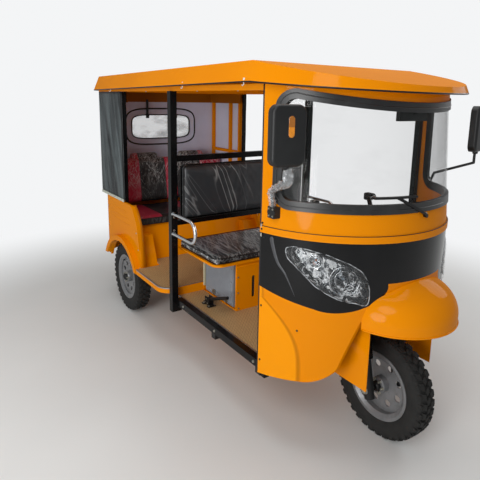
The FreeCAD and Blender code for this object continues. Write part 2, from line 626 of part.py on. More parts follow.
def front_post_y():
    """The outer face of the front posts: just inside the narrow top of the shell."""
    inner = cowl_top_r() - s.shell_wall
    reach = s.shell_rear_x + s.front_post_w - s.cowl_top_cx
    return root(inner * inner - reach * reach) - s.seat_gap


# Roof: a pressed shell, open below, with a sloping rim and a rounded front.
def roof_form(name, inset):
    """The roof as a solid block; an inset makes the hollow inside it."""
    half, r, rear = roof_half() - inset, s.roof_corner_r - inset, s.roof_rear_x + inset
    cx = s.roof_front_cx
    plan = plate(name + "_plan", "XY", s.roof_base_z, s.roof_peak_top - s.roof_base_z + 10,
                 [(rear, r - half, r), (rear + r, -half), (cx, -half, half), (cx + half, 0, half), (cx, half),
                  (rear + r, half, r), (rear, half - r)], taper=s.roof_taper)
    top = plate(name + "_top", "XZ", -roof_half() * 2, roof_half() * 4,
                [(-s.roof_reach, s.roof_rear_top - inset), (s.roof_peak_x, s.roof_peak_top - inset),
                 (s.roof_reach, s.roof_front_top - inset), (s.roof_reach, s.roof_peak_top + 100),
                 (-s.roof_reach, s.roof_peak_top + 100)])
    return cut(name, plan, top)


def roof():
    low = plate("roof_rim_cut", "XZ", -roof_half() * 2, roof_half() * 4,
                [(-s.roof_reach, s.roof_rear_low), (-s.roof_reach, s.roof_base_z - 20),
                 (s.roof_reach, s.roof_base_z - 20), (s.roof_reach, s.roof_front_low),
                 (s.roof_mid_x, s.roof_mid_low)])
    return cut("roof_shell", roof_form("roof_outer", as_rule(0)), low,
               roof_form("roof_hollow", s.roof_wall))


def roof_frame():
    y, t, z = s.post_y, s.roof_rail, s.roof_rail_z
    front_x = s.shell_rear_x
    inner = y - s.post_w / 2
    rails = [block("roof_rail_%d" % side, (s.rear_x, front_x), span, (z, z + t))
             for side, span in enumerate(((inner, inner + t), (-inner - t, -inner)))]
    bows = [block("roof_bow_%d" % number, (x, x + s.bow_w), (-inner, inner), (z, z + t))
            for number, x in enumerate((s.rear_x, s.post_rear_x - s.bow_w / 2, s.post_x - s.bow_w / 2))]
    bows.append(block("roof_bow_front", (front_x, front_x + s.front_post_w), (-front_post_y(), front_post_y()),
                      (z, z + t)))
    top = z + t + s.bow_w
    reach = roof_half() - s.roof_wall - s.seat_gap - tangent(s.roof_taper) * (top - s.roof_base_z)
    ahead = front_x + s.bow_w - s.roof_front_cx
    bearers = [block("roof_bearer_%d" % number, (x, x + s.bow_w), (-half, half), (z + t, top))
               for number, (x, half) in enumerate(((s.rear_x + s.roof_corner_r + s.tube, reach),
                                                   (s.post_rear_x - s.bow_w / 2, reach),
                                                   (s.post_x - s.bow_w / 2, reach),
                                                   (front_x - s.bow_w / 2, root(reach * reach - ahead * ahead))))]
    return joined("roof_frame_all", *rails, *bows, *bearers)


# Front shell: a half-round skin in plan, vertical up to the waist and leaning back above it.
# Side outlines cut the windshield opening, the black band and the swept lower edge.
def ring(name, outer_r, inner_r, low_z, high_z):
    outer = rod(name + "_outer", outer_r, high_z - low_z, s.shell_cx, 0, low_z)
    inner = rod(name + "_inner", inner_r, high_z - low_z + 2, s.shell_cx, 0, low_z - 1)
    front = block(name + "_front", (s.shell_rear_x, s.shell_rear_x + s.shell_r), (-s.shell_r - 50, s.shell_r + 50),
                  (low_z, high_z))
    return common(name, cut(name + "_wall", outer, inner), front)


def band_edge():
    """The lower edge of the black band, from the shell's rear edge to the nose."""
    return [(s.shell_rear_x - 5, s.band_rear_z), (shell_nose() - s.band_low_in - 60, s.band_low_z + 8, 160),
            (shell_nose() - s.band_low_in + 40, s.band_low_z + 6, 120), (shell_nose() - s.band_turn_in + 30, s.band_low_z + s.band_turn_rise)]


def apron_edge():
    return [(s.shell_rear_x - 5, s.apron_rear_z), (s.apron_flat_x, s.apron_flat_z, s.apron_turn_r),
            (s.apron_turn_x, s.apron_turn_z), (s.apron_nose_x, s.apron_nose_z)]


def side_cutter(name, corners):
    return plate(name, "XZ", -s.shell_r - 60, (s.shell_r + 60) * 2, corners)


def front_apron():
    skin = ring("apron_ring", s.shell_r, s.shell_r - s.shell_wall, s.apron_rear_z - 20, s.waist_z)
    rear = s.shell_rear_x - 5
    front = shell_nose() + 60
    below = side_cutter("apron_low_cut", apron_edge() + [(front, s.apron_nose_z), (front, s.apron_rear_z - 60),
                                                        (rear, s.apron_rear_z - 60)])
    above = side_cutter("apron_band_cut", band_edge() + [(front, s.band_low_z + s.band_turn_rise), (front, s.waist_z + 20),
                                                        (rear, s.waist_z + 20)])
    return cut("apron_skin", skin, below, above)


def lamp_outline(grow):
    """The almond of the right headlamp, seen from the front and grown by an edge."""
    e = as_rule(grow)
    y, z = s.lamp_side_gap - s.shell_r, s.lamp_tip_z
    return [(y - e, z - s.lamp_side_drop - e, 320 + e),
            (y + s.lamp_belly_in - e, z - s.lamp_belly_drop - e, 107 + e),
            (y + s.lamp_foot_in, z - s.lamp_foot_drop - e, 46 + e),
            (y + s.lamp_nose_in + e, z - s.lamp_nose_drop, 230 + e), (y + 54, z - 3 + e), (y + 16, z + 10 + e), (y - e, z - 2 + e)]


def lamp_prism(name, grow):
    return plate(name, "YZ", s.shell_rear_x + s.front_post_w + 20, s.shell_r, lamp_outline(grow))


def lamp_band():
    skin = ring("band_ring", s.shell_r, s.shell_r - s.shell_wall, s.band_low_z - 20, s.waist_z)
    rear = s.shell_rear_x - 5
    front = shell_nose() + 60
    below = side_cutter("band_low_cut", band_edge() + [(front, s.band_low_z + s.band_turn_rise), (front, s.band_low_z - 60),
                                                      (rear, s.band_low_z - 60)])
    right = lamp_prism("band_lamp_hole", 0)
    return cut("band_skin", skin, below, right, mirrored("band_lamp_hole_left", right))


def headlamp_lens():
    out, wall = s.shell_r + s.lens_out, s.lens_t
    skin = ring("lens_ring", out, out - wall, s.band_low_z, s.waist_z)
    side = ring("lens_side_ring", out - wall, s.shell_r, s.band_low_z, s.waist_z)
    rim = cut("lens_rim", common("lens_side", side, lamp_prism("lens_side_form", 0)),
              lamp_prism("lens_side_hole", -s.lamp_edge))
    return both_sides("lens_pair", joined("lens_right", common("lens_face", skin, lamp_prism("lens_form", 0)), rim))


def headlamp_housing():
    inner = s.shell_r - s.housing_deep
    mass = common("housing_mass", ring("housing_ring", s.shell_r - s.seat_gap, inner, s.band_low_z, s.waist_z),
                  lamp_prism("housing_form", -s.seat_gap))
    bowl = common("housing_bowl",
                  ring("housing_bowl_ring", s.shell_r + 5, inner + s.housing_wall, s.band_low_z, s.waist_z),
                  lamp_prism("housing_bowl_form", -s.housing_wall - s.seat_gap))
    return both_sides("housing_pair", cut("housing_right", mass, bowl))


def lean_form(name, inset, chord_x):
    """The upper shell as a solid that leans back from the waist to the roof."""
    body = doc.addObject("PartDesign::Body", name)
    sections = []
    for number, (z, cx, r) in enumerate(((s.waist_z, s.shell_cx, s.shell_r),
                                         (s.shell_top_z, s.cowl_top_cx, cowl_top_r()))):
        radius, reach = r - inset, as_rule(chord_x) - cx
        y = root(radius * radius - reach * reach)
        sketch = sketch_on(body, "%s_section_%d" % (name, number), "XY", z)
        sections.append(draw(sketch, [(chord_x, -y, radius), (chord_x, y)]))
    loft = body.newObject("PartDesign::AdditiveLoft", name + "_loft")
    loft.Profile, loft.Sections, loft.Ruled = sections[0], sections[1:], True
    return body


def lean_skin(name, outer_inset, inner_inset):
    outer = lean_form(name + "_outer", as_rule(outer_inset), s.shell_rear_x)
    inner = lean_form(name + "_inner", as_rule(inner_inset), s.shell_rear_x - 2)
    return cut(name, outer, inner)


def screen_outline(grow):
    """The windshield's outline seen from the side, grown by an edge; it runs off past the nose."""
    e = as_rule(grow)
    r = s.glass_corner_r + e
    rear, low, high = s.glass_rear_x - e, s.glass_low_z - e, s.glass_top_z + e
    nose = shell_nose() + 60
    return [(rear, low + r, r), (rear + r, low), (nose, low), (nose, s.glass_nose_top_z + e),
            (rear + r, high, r), (rear, high - r)]


def front_cowl():
    skin = lean_skin("cowl_skin", 0, s.shell_wall)
    opening = side_cutter("cowl_opening", screen_outline(0))
    bead = ring("waist_bead", s.shell_r + s.bead_out, s.shell_r - s.shell_wall, s.waist_z, s.waist_z + s.bead_h)
    return joined("cowl_all", cut("cowl_cut", skin, opening), bead)


def windshield_seal():
    skin = lean_skin("seal_skin", -s.seal_out, s.seal_in)
    outline = common("seal_outline", skin, side_cutter("seal_outer", screen_outline(0)))
    return cut("seal_ring", outline, side_cutter("seal_inner", screen_outline(-s.seal_w)))


def windshield():
    skin = lean_skin("glass_skin", s.glass_set, s.glass_set + s.glass_t)
    return common("glass_sheet", skin, side_cutter("glass_outline", screen_outline(-s.seal_w)))


# Nose mudguard: a spun dome over the front wheel, fixed to the shell and open below.
def nose_mudguard():
    t = s.nose_t
    r, side, shoulder_r, shoulder = s.nose_r, s.nose_side_z, s.nose_shoulder_r, s.nose_shoulder_z
    dome = spun("nose_dome", shell_nose() - s.nose_in,
                [(0, s.nose_top_z - t, -s.nose_crown_r), (shoulder_r - t, shoulder - t, -s.nose_bend_r),
                 (r - t, side), (r - t, s.nose_low_z), (r, s.nose_low_z), (r, side, s.nose_bend_r + t),
                 (shoulder_r, shoulder, s.nose_crown_r + t), (0, s.nose_top_z)])
    core = rod("nose_shell_core", s.shell_r + s.seat_gap, s.waist_z, s.shell_cx, 0, 0)
    return cut("nose_skin", dome, core)


# Front wheel bay: the raised box in the front floor that the wheel turns in.
def wheel_bay():
    t = s.bay_t
    front = s.shell_cx + s.shell_r
    outer = plate("bay_outer", "XZ", -s.bay_y, 2 * s.bay_y,
                  [(s.bay_x, s.frame_top), (front, s.frame_top), (front, s.bay_z), (s.bay_knee_x, s.bay_z),
                   (s.bay_x, s.bay_knee_z)])
    inner = plate("bay_inner", "XZ", t - s.bay_y, 2 * (s.bay_y - t),
                  [(s.bay_x + t, s.frame_top - 1), (front + 1, s.frame_top - 1), (front + 1, s.bay_z - t),
                   (s.bay_knee_x + t / 2, s.bay_z - t), (s.bay_x + t, s.bay_knee_z)])
    limit = rod("bay_limit", s.shell_r - s.shell_wall - s.seat_gap, s.waist_z, s.shell_cx, 0, 0)
    stem_hole = steering_rod("bay_stem_hole", s.head_r + s.seat_gap, s.head_low - 60, s.head_len + 50)
    return cut("bay_walls", common("bay_trimmed", cut("bay_box", outer, inner), limit), stem_hole)


def steering_point(along, forward=0):
    """A point on the steering axis, at a distance up it from the height of the front axle."""
    lean = math.radians(s.rake.value)
    x = s.rear_axle_x + s.wheelbase - s.fork_trail + forward
    sine = Rule(math.sin(lean), "sin(Sizes.rake * 1 deg)")
    cosine = Rule(math.cos(lean), "cos(Sizes.rake * 1 deg)")
    return x - sine * along, s.axle_z + cosine * along


def steering_rod(name, radius, start, length, y=0, forward=0):
    """A round bar parallel to the steering axis."""
    x, z = steering_point(as_rule(start), forward)
    return rod(name, radius, length, x, y, z, along=Vector(0, -1, 0), angle=s.rake)


def steering_block(name, start, height, back, ahead, half):
    """A block square to the steering axis."""
    item = doc.addObject("Part::Box", name)
    bind(item, Length=as_rule(back) + ahead, Width=2 * as_rule(half), Height=height)
    cosine = Rule(math.cos(math.radians(s.rake.value)), "cos(Sizes.rake * 1 deg)")
    sine = Rule(math.sin(math.radians(s.rake.value)), "sin(Sizes.rake * 1 deg)")
    x, z = steering_point(as_rule(start))
    place(item, x - cosine * back, -as_rule(half), z - sine * back)
    return turn(item, Vector(0, -1, 0), s.rake)


# Steering head: a tube on two legs that stand on the floor behind the wheel bay.
def steering_head():
    outer = steering_rod("head_tube", s.head_r, s.head_low, s.head_len)
    bore = steering_rod("head_bore", s.stem_r + s.bearing_gap, s.head_low - 50, s.head_len + 100)
    middle_x, middle_z = steering_point(s.head_low + s.head_len / 2)
    legs = doc.addObject("Part::Feature", "neck_legs")
    floor = s.frame_top + s.floor_t + s.mat_t
    foot_z = (floor + s.neck_foot_t).value
    shapes = []
    for side in (-1, 1):
        low = Vector(s.neck_foot_x.value, side * s.neck_foot_y.value, foot_z)
        high = Vector(middle_x.value, side * s.head_r.value * 0.4, middle_z.value)
        shapes.append(Part.makeCylinder(s.neck_r.value, (high - low).Length, low, high - low))
        half = s.neck_foot_w.value / 2
        shapes.append(Part.makeBox(half * 2, half * 2, s.neck_foot_t.value,
                                   Vector(low.x - half, low.y - half, foot_z - s.neck_foot_t.value)))
        shapes.append(Part.makeSphere(s.neck_r.value, low + Vector(0, 0, s.neck_r.value * 0.4)))
    legs.Shape = shapes[0].multiFuse(shapes[1:])
    below = block("neck_below", (0, s.front_floor_x), (-s.bay_y, s.bay_y), (0, floor))
    return cut("head_all", joined("head_solid", outer, legs), bore, below)


# Front fork: sliders and legs, axle, clamp and stem. Springs in gaiters ride on the legs.
def front_fork():
    parts = []
    for side, y in enumerate((-s.leg_y, s.leg_y)):
        parts.append(steering_rod("slider_%d" % side, s.slider_r, -s.lug_w, s.slider_top, y, s.fork_trail))
        parts.append(steering_rod("leg_%d" % side, s.leg_r, 0, s.leg_top, y, s.fork_trail))
    parts.append(side_rod("front_axle", s.axle_r, -s.leg_y, s.leg_y, s.rear_axle_x + s.wheelbase, s.axle_z))
    parts.append(steering_block("fork_clamp", s.leg_top - s.clamp_t, s.clamp_t, s.clamp_w / 2,
                                s.fork_trail + s.leg_r + 12, s.leg_y + s.leg_r + 12))
    parts.append(steering_rod("fork_stem", s.stem_r, s.leg_top - s.clamp_t, s.stem_top - s.leg_top + s.clamp_t))
    return joined("fork_all", *parts)


def fork_springs():
    length = s.leg_top - s.clamp_t - s.seat_gap * 2 - (s.slider_top - s.lug_w) - s.seat_gap
    start = s.slider_top - s.lug_w + s.seat_gap
    gaiters = []
    for side, y in enumerate((-s.leg_y, s.leg_y)):
        outer = steering_rod("gaiter_%d" % side, s.spring_r, start, length, y, s.fork_trail)
        hole = steering_rod("gaiter_hole_%d" % side, s.leg_r + s.seat_gap, start - 5, length + 10, y, s.fork_trail)
        gaiters.append(cut("gaiter_tube_%d" % side, outer, hole))
    return group("gaiters", *gaiters)


def handlebar():
    """The bar rises from its clamp and sweeps back to the grips."""
    x, z = steering_point(s.stem_top)
    top = Vector(x.value, 0, z.value)
    mid, half = s.bar_mid_half.value, s.bar_half.value
    rise, back = s.bar_rise.value, s.bar_back.value
    points = []
    for side in (-1, 1):
        inner = top + Vector(0, side * mid, 0)
        bend = top + Vector(-back * 0.45, side * (mid + 70), rise)
        wide = top + Vector(-back * 0.6, side * (half - s.grip_len.value * 0.6), rise)
        grip = top + Vector(-back, side * half, rise - 15)
        points.append([inner, bend, wide, grip])
    route = points[0][::-1] + points[1]
    item = doc.addObject("Part::Feature", "bar_tube")
    radius = s.bar_r.value
    tubes = [Part.makeCylinder(radius, (b - a).Length, a, b - a) for a, b in zip(route, route[1:])]
    joints = [Part.makeSphere(radius, point) for point in route[1:-1]]
    item.Shape = tubes[0].multiFuse(tubes[1:] + joints)
    clamp = steering_block("bar_clamp", s.stem_top - s.clamp_block / 2, s.clamp_block, s.clamp_block / 2,
                           s.clamp_block / 2, s.clamp_block)
    stem = steering_rod("bar_clamp_hole", s.stem_r, s.stem_top - s.clamp_block, s.clamp_block)
    return cut("bar_all", joined("bar_solid", item, clamp), stem), points


def grips(points):
    item = doc.addObject("Part::Feature", "grip_tubes")
    shapes = []
    for route in points:
        start, end = route[2], route[3]
        way = end - start
        outer = Part.makeCylinder(s.grip_r.value, s.grip_len.value, end - way.normalize() * (s.grip_len.value - 4),
                                  route[3] - route[2])
        hole = Part.makeCylinder(s.bar_r.value, s.grip_len.value - 4,
                                 end - (route[3] - route[2]).normalize() * (s.grip_len.value - 4),
                                 route[3] - route[2])
        shapes.append(outer.cut(hole))
    item.Shape = Part.makeCompound(shapes)
    return item


# Wheels: a spun tyre and a spun rim whose disc has a ring of round holes.
def wheel_profile_tyre():
    half, r, bead, tread = s.tyre_w / 2, s.tyre_r, s.tyre_bead_r, s.tread_half
    rim_half, edge = s.rim_w / 2, s.tyre_r - s.tread_crown
    tread_r = (tread * tread + s.tread_crown * s.tread_crown) / (2 * s.tread_crown)
    low, high = bead + 10, bead + 48
    return [(4 - rim_half, bead), (rim_half - 4, bead), (rim_half - 3, low, 90), (half, high, 70),
            (half - 4, edge - s.tread_shoulder), (tread, edge, tread_r), (-tread, edge),
            (4 - half, edge - s.tread_shoulder, 70), (-half, high, 90), (3 - rim_half, low)]


def across_spin(name, x, y, profile):
    """A profile of (across, radius) corners spun about the wheel's axle line."""
    body = doc.addObject("PartDesign::Body", name)
    sketch = sketch_on(body, name + "_profile", "YZ", x)
    sketch.setExpression("AttachmentOffset.Base.x", as_rule(y).text)
    sketch.setExpression("AttachmentOffset.Base.y", s.axle_z.text)
    draw(sketch, profile)
    spin = body.newObject("PartDesign::Revolution", name + "_spin")
    spin.Profile = sketch
    spin.ReferenceAxis = (sketch, ["H_Axis"])
    spin.Angle = 360
    return body


def tyre(name, x, y):
    return across_spin(name, x, y, wheel_profile_tyre())


def rim(name, x, y, bore_r, out):
    """The disc stands towards the outside of the wheel; out is 1 for left, -1 for right, 0 for both."""
    half, lip, wall = s.rim_w / 2, s.rim_lip_r, s.rim_wall
    bead = s.tyre_bead_r - s.seat_gap
    barrel = across_spin(name + "_barrel", x, y,
                         [(-half - 4, bead - 8), (-half + 8, bead - 26), (half - 8, bead - 26), (half + 4, bead - 8),
                          (half + 4, lip - 2), (half - 1, lip - 2), (half - 2, bead), (2 - half, bead),
                          (1 - half, lip - 2), (-half - 4, lip - 2)][::-1])
    inner = bead - 26
    hollow_in = inner - 5
    disc = across_spin(name + "_disc", x, y,
                       [(out * 10 - 4, s.hub_r), (out * 22 - 4, 130), (out * 22 - 4, inner + 3),
                        (out * 22 + 4, inner + 3), (out * 22 + 4, 128), (out * 10 + 4, s.hub_r)])
    hub = across_spin(name + "_hub", x, y,
                      [(-s.hub_w / 2, bore_r), (s.hub_w / 2, bore_r), (s.hub_w / 2, s.hub_r - 6),
                       (s.hub_w / 2 - 8, s.hub_r), (8 - s.hub_w / 2, s.hub_r), (-s.hub_w / 2, s.hub_r - 6)])
    hollow = across_spin(name + "_hollow", x, y,
                         [(-half - 10, 0), (half + 10, 0), (half + 10, hollow_in), (-half - 10, hollow_in)])
    holes = []
    for number in range(int(s.disc_holes.value)):
        angle = 2 * math.pi * (number + 0.5) / s.disc_holes.value
        holes.append(side_rod("%s_hole_%d" % (name, number), s.disc_hole_r, y - half, y + half,
                              x + s.disc_hole_pcr * math.cos(angle), s.axle_z + s.disc_hole_pcr * math.sin(angle)))
    pierced = cut(name + "_pierced", disc, joined(name + "_holes", *holes))
    return joined(name + "_all", cut(name + "_open", barrel, hollow), pierced, hub)


# Driver's place: seat box with a slot, battery case inside it, seat pan, cushion and backrest.
def seat_box():
    floor = s.frame_top + s.floor_t + s.mat_t
    t = s.box_t
    outer = block("box_outer", (s.box_rear_x, s.box_front_x), (-s.box_half, s.box_half), (floor, s.box_top_z))
    inner = block("box_inner", (s.box_rear_x + t, s.box_front_x - t), (-s.box_half - 1, s.box_half - t),
                  (floor + t, s.box_top_z - t))
    slot = plate("box_slot", "YZ", s.box_front_x - t - 1, t + 2,
                 rounded_box(s.slot_y - s.slot_w / 2, s.slot_y + s.slot_w / 2, s.slot_low_z, s.slot_top_z,
                             s.slot_w / 2 - 0.01))
    side_hole = plate("box_lip", "XZ", s.box_half - 20, 30,
                      rounded_box(s.box_rear_x + t, s.box_front_x - t, floor + t, s.box_top_z - t, as_rule(12)))
    pan = plate("pan", "XY", s.box_top_z, s.pan_t,
                rounded_box(s.pan_rear_x, s.pan_front_x, -s.pan_half, s.pan_half, s.pan_corner))
    return joined("seat_base", cut("box_all", outer, inner, slot, side_hole), pan)


def driver_cushion():
    inset = s.seat_inset
    low = s.box_top_z + s.pan_t + s.seat_gap
    return plate("driver_pad", "XY", low, s.seat_t,
                 rounded_box(s.pan_rear_x + inset, s.pan_front_x - inset, inset - s.pan_half, s.pan_half - inset,
                             s.seat_corner))


def driver_backrest():
    low = s.rest_rail_z + s.rest_rail_h
    front = s.rest_x + s.rest_panel_t + s.seat_gap
    return plate("rest_pad", "YZ", front, s.rest_t,
                 rounded_box(-s.rest_half, s.rest_half, low + 4, low + s.rest_h, as_rule(30)))


def backrest_frame():
    """Two cross rails between the posts, and the board behind the pad."""
    inner = s.post_y - s.post_w / 2
    low = s.rest_rail_z
    rail = block("rest_rail", (s.post_x - s.post_w / 2, s.post_x + s.post_w / 2 - s.post_set), (-inner, inner),
                 (low, low + s.rest_rail_h))
    board = block("rest_board", (s.rest_x, s.rest_x + s.rest_panel_t), (-s.rest_half + 6, s.rest_half - 6),
                  (low + s.rest_rail_h, low + s.rest_rail_h + s.rest_h - 10))
    top = block("rest_top_rail", (s.post_x - s.post_w / 2, s.post_x + s.post_w / 2 - s.post_set),
                (-inner, inner), (s.rest_top_z, s.rest_top_z + s.rest_top_h))
    return group("rest_rails", joined("rest_frame", rail, board), top)


def battery_case():
    floor = s.frame_top + s.floor_t + s.mat_t + s.box_t + s.seat_gap
    return block("battery", (s.battery_rear_x, s.battery_front_x), (-s.battery_half, s.battery_half - 60),
                 (floor, floor + s.battery_h))


# Controls and fittings.
def parking_lever():
    floor = s.frame_top + s.floor_t + s.mat_t
    x, y, w, t = s.lever_x, s.lever_y, s.lever_foot_w, s.lever_foot_t
    feet = [block("lever_foot_%d" % number, (x + gap, x + gap + w), (y - w, y + w), (floor, floor + t))
            for number, gap in enumerate((-30, 34))]
    bridge = block("lever_bridge", (x - 30, x + 34 + w), (y - w / 2, y + w / 2),
                   (floor + t, floor + t + 8))
    body = block("lever_body", (x, x + 40), (y - 11, y + 11), (floor + t, floor + s.lever_block_h))
    arm = rod("lever_arm", s.lever_r, s.lever_len, x + 20, y, floor + s.lever_block_h - 8,
              along=ACROSS, angle=90 - s.lever_tilt)
    return joined("lever_all", *feet, bridge, body, arm)


def brake_pedal():
    floor = s.frame_top + s.floor_t + s.mat_t
    x, y = s.pedal_x, s.pedal_y
    foot = block("pedal_foot", (x, x + 50), (y - 20, y + 20), (floor, floor + 6))
    arm = block("pedal_arm", (x + 10, x + 22), (y - 6, y + 6), (floor + 6, floor + s.pedal_h))
    pad = block("pedal_pad", (x - 4, x + 10), (y - s.pedal_w / 2, y + s.pedal_w / 2),
                (floor + s.pedal_h - 50, floor + s.pedal_h))
    return joined("pedal_all", foot, arm, pad)


def bent_pipe(name, plane, start, route, radius):
    """A round pipe along straight runs joined by arcs. Columns of the route: across, up, bend radius."""
    points = [Vector(as_rule(a).value, as_rule(b).value, 0) for a, b, bend in route]
    edges, last = [], points[0]
    for number in range(1, len(points) - 1):
        before = (points[number - 1] - points[number]).normalize()
        after = (points[number + 1] - points[number]).normalize()
        bend = as_rule(route[number][2]).value
        half = before.getAngle(after) / 2
        cut_back = bend / math.tan(half)
        start_arc, end_arc = points[number] + before * cut_back, points[number] + after * cut_back
        middle = (before + after).normalize()
        centre = points[number] + middle * (bend / math.sin(half))
        edges.append(Part.makeLine(last, start_arc))
        edges.append(Part.Arc(start_arc, centre - middle * bend, end_arc).toShape())
        last = end_arc
    edges.append(Part.makeLine(last, points[-1]))
    wire = Part.Wire(edges)
    circle = Part.Wire(Part.makeCircle(as_rule(radius).value, points[0], points[1] - points[0]))
    tube = wire.makePipeShell([circle], True, False)
    item = doc.addObject("Part::Feature", name)
    item.Shape = tube
    turns = {"XZ": Rotation(Vector(1, 0, 0), 90), "XY": Rotation(),
             "YZ": Rotation(Vector(1, 0, 0), Vector(0, 1, 0), Vector(0, 0, 1))}
    item.Placement = Placement(Vector(0, as_rule(start).value, 0), turns[plane])
    return item


def grab_rail():
    """A chromed loop welded to the front of the middle post."""
    start_x = s.post_x + s.post_w / 2
    tip_x = start_x + s.rail_reach_x
    high, low = s.rail_top_z, s.rail_low_z
    loop = bent_pipe("grab_loop", "XZ", -s.grab_y,
                     [(start_x, high, 0), (tip_x, high, s.rail_bend_r), (tip_x, low, s.rail_low_bend_r),
                      (start_x, low, 0)], s.rail_bar_r)
    return both_sides("grab_pair", loop)


def mirror_head():
    body = doc.addObject("PartDesign::Body", "mirror_housing")
    w, high = s.mirror_w, s.mirror_h
    sketch = sketch_on(body, "mirror_outline", "YZ", 0)
    draw(sketch, rounded_box(-w / 2, w / 2, -high / 2, high / 2, s.mirror_round))
    pad = body.newObject("PartDesign::Pad", "mirror_pad")
    pad.Profile = sketch
    bind(pad, Length=s.mirror_t)
    doc.recompute()
    soft = doc.addObject("Part::Fillet", "mirror_soft")
    soft.Base = body
    front = [number for number, edge in enumerate(body.Shape.Edges, start=1)
             if abs(edge.CenterOfMass.x - s.mirror_t.value) < 0.5]
    soft.Edges = [(number, 14, 14) for number in front]
    place(soft, s.mirror_x, -s.mirror_y, s.mirror_z)
    turn(soft, Vector(0, 0, 1), -s.mirror_turn)
    return soft


def mirror_arm():
    x, z = s.arm_foot_x, s.arm_foot_z
    inner = s.shell_r
    reach = x - s.shell_cx
    y = root(inner * inner - reach * reach)
    foot = Vector(x.value, -y.value - s.arm_foot_t.value / 2, z.value + 10)
    head = Vector(s.mirror_x.value + s.mirror_t.value * 0.4, -s.mirror_y.value, s.mirror_z.value - s.mirror_h.value / 2)
    knee = Vector(foot.x + 20, foot.y - 30, foot.z + 90)
    bend = Vector(head.x, head.y, head.z - 60)
    route = [foot, knee, bend, head]
    radius = s.arm_r.value
    tubes = [Part.makeCylinder(radius, (b - a).Length, a, b - a) for a, b in zip(route, route[1:])]
    balls = [Part.makeSphere(radius, point) for point in route[1:-1]]
    item = doc.addObject("Part::Feature", "arm_tube")
    item.Shape = tubes[0].multiFuse(tubes[1:] + balls)
    clamp = block("arm_clamp", (x - s.arm_foot_w / 2, x + s.arm_foot_w / 2), (-y - s.arm_foot_t, -y + 20),
                  (z - s.arm_foot_h / 2, z + s.arm_foot_h / 2))
    core = lean_form("arm_core", as_rule(0) - s.seat_gap, s.shell_rear_x - 2)
    return cut("arm_right", joined("arm_solid", clamp, item), core)


def mirrors():
    return both_sides("mirror_pair", joined("mirror_right", mirror_head(), mirror_arm()))


def dashboard():
    rear = shell_nose() - s.dash_deep
    outer = plate("dash_form", "XZ", -s.dash_half, 2 * s.dash_half,
                  [(rear, s.dash_top_z), (rear + 40, s.dash_top_z - s.dash_h),
                   (s.shell_cx + s.shell_r, s.dash_top_z - s.dash_h + 30), (s.shell_cx + s.shell_r, s.dash_top_z)])
    inset = s.shell_wall + s.seat_gap
    limit = rod("dash_limit", s.shell_r - inset, s.waist_z, s.shell_cx, 0, 0)
    lamps = rod("dash_lamp_room", s.shell_r - s.housing_deep - s.dash_gap, s.shell_top_z, s.shell_cx, 0, 0)
    low_half = block("dash_low", (0, s.shell_cx + s.shell_r), (-s.dash_half, s.dash_half), (0, s.lamp_tip_z + 25))
    low = common("dash_lower", outer, low_half, lamps)
    middle = cut("dash_middle", common("dash_trimmed", outer, limit), low_half)
    high = common("dash_upper", outer, lean_form("dash_high_limit", inset, rear - 20))
    return joined("dash_all", low, middle, high)


def interior_mirror():
    x, z = s.inner_mirror_x, s.inner_mirror_z
    head = block("inner_mirror_head", (x - s.inner_mirror_t / 2, x + s.inner_mirror_t / 2),
                 (-s.inner_mirror_w / 2, s.inner_mirror_w / 2), (z - s.inner_mirror_h / 2, z + s.inner_mirror_h / 2))
    stalk = rod("inner_mirror_stalk", 5, 80, x, 0, z, along=ACROSS, angle=55)
    limit = lean_form("inner_mirror_limit", s.seal_in + s.seat_gap, s.shell_rear_x - 2)
    return common("inner_mirror_all", joined("inner_mirror_solid", head, stalk), limit)


def wiper():
    """The blade lies on the glass; its arm bridges the seal from a spindle on the cowl."""
    deep = -(s.seal_out + s.wiper_t)
    arm_z, blade_z, half = s.glass_low_z - s.wiper_drop, s.glass_low_z + s.wiper_rise, s.wiper_t / 2
    start = s.cowl_top_cx + s.wiper_reach
    blade = common("wiper_blade", lean_skin("wiper_blade_skin", deep, s.glass_set - s.seat_gap),
                   plate("wiper_blade_form", "YZ", start, s.shell_r,
                         [(-s.wiper_len, blade_z - half), (-s.wiper_near, blade_z - half),
                          (-s.wiper_near, blade_z + half), (-s.wiper_len, blade_z + half)]))
    middle = -(s.wiper_len + s.wiper_near) / 2
    arm = common("wiper_arm", lean_skin("wiper_arm_skin", deep, -s.seal_out - s.seat_gap),
                 plate("wiper_arm_form", "YZ", start, s.shell_r,
                       [(-half, arm_z), (half, arm_z - half), (half * 2, arm_z + half), (middle + half, blade_z + half),
                        (middle - half, blade_z - half)]))
    core = lean_form("wiper_core", -s.seat_gap, s.shell_rear_x - 2)
    cap = lean_form("wiper_cap", deep, s.shell_rear_x - 2)
    spindle = common("wiper_spindle", rod("wiper_spindle_rod", s.wiper_t, s.shell_r, start, 0, arm_z, along=ACROSS), cap)
    return joined("wiper_all", blade, arm, cut("wiper_post", spindle, core))


def tail_lamps():
    x = s.body_rear_x
    y, z, w, high = s.tail_lamp_y, s.tail_lamp_z, s.tail_lamp_w, s.tail_lamp_h
    half_w = w / 2
    lamp = block("tail_lamp_right", (x - s.tail_lamp_t, x), (-y - half_w + 30, half_w - y), (z - high / 2, z + high / 2))
    return both_sides("tail_pair", lamp)


def rear_bumper():
    bar = side_rod("bumper_bar", s.bumper_r, -s.bumper_half, s.bumper_half, s.bumper_x, s.bumper_z)
    stays = [block("bumper_stay_%d" % side, (s.bumper_x, s.rail_rear_x), (y - s.rail_w / 2, y + s.rail_w / 2),
                   (s.bumper_z - s.stay_half, s.bumper_z + s.stay_half)) for side, y in enumerate((s.rail_y, -s.rail_y))]
    return joined("bumper_all", bar, *stays)


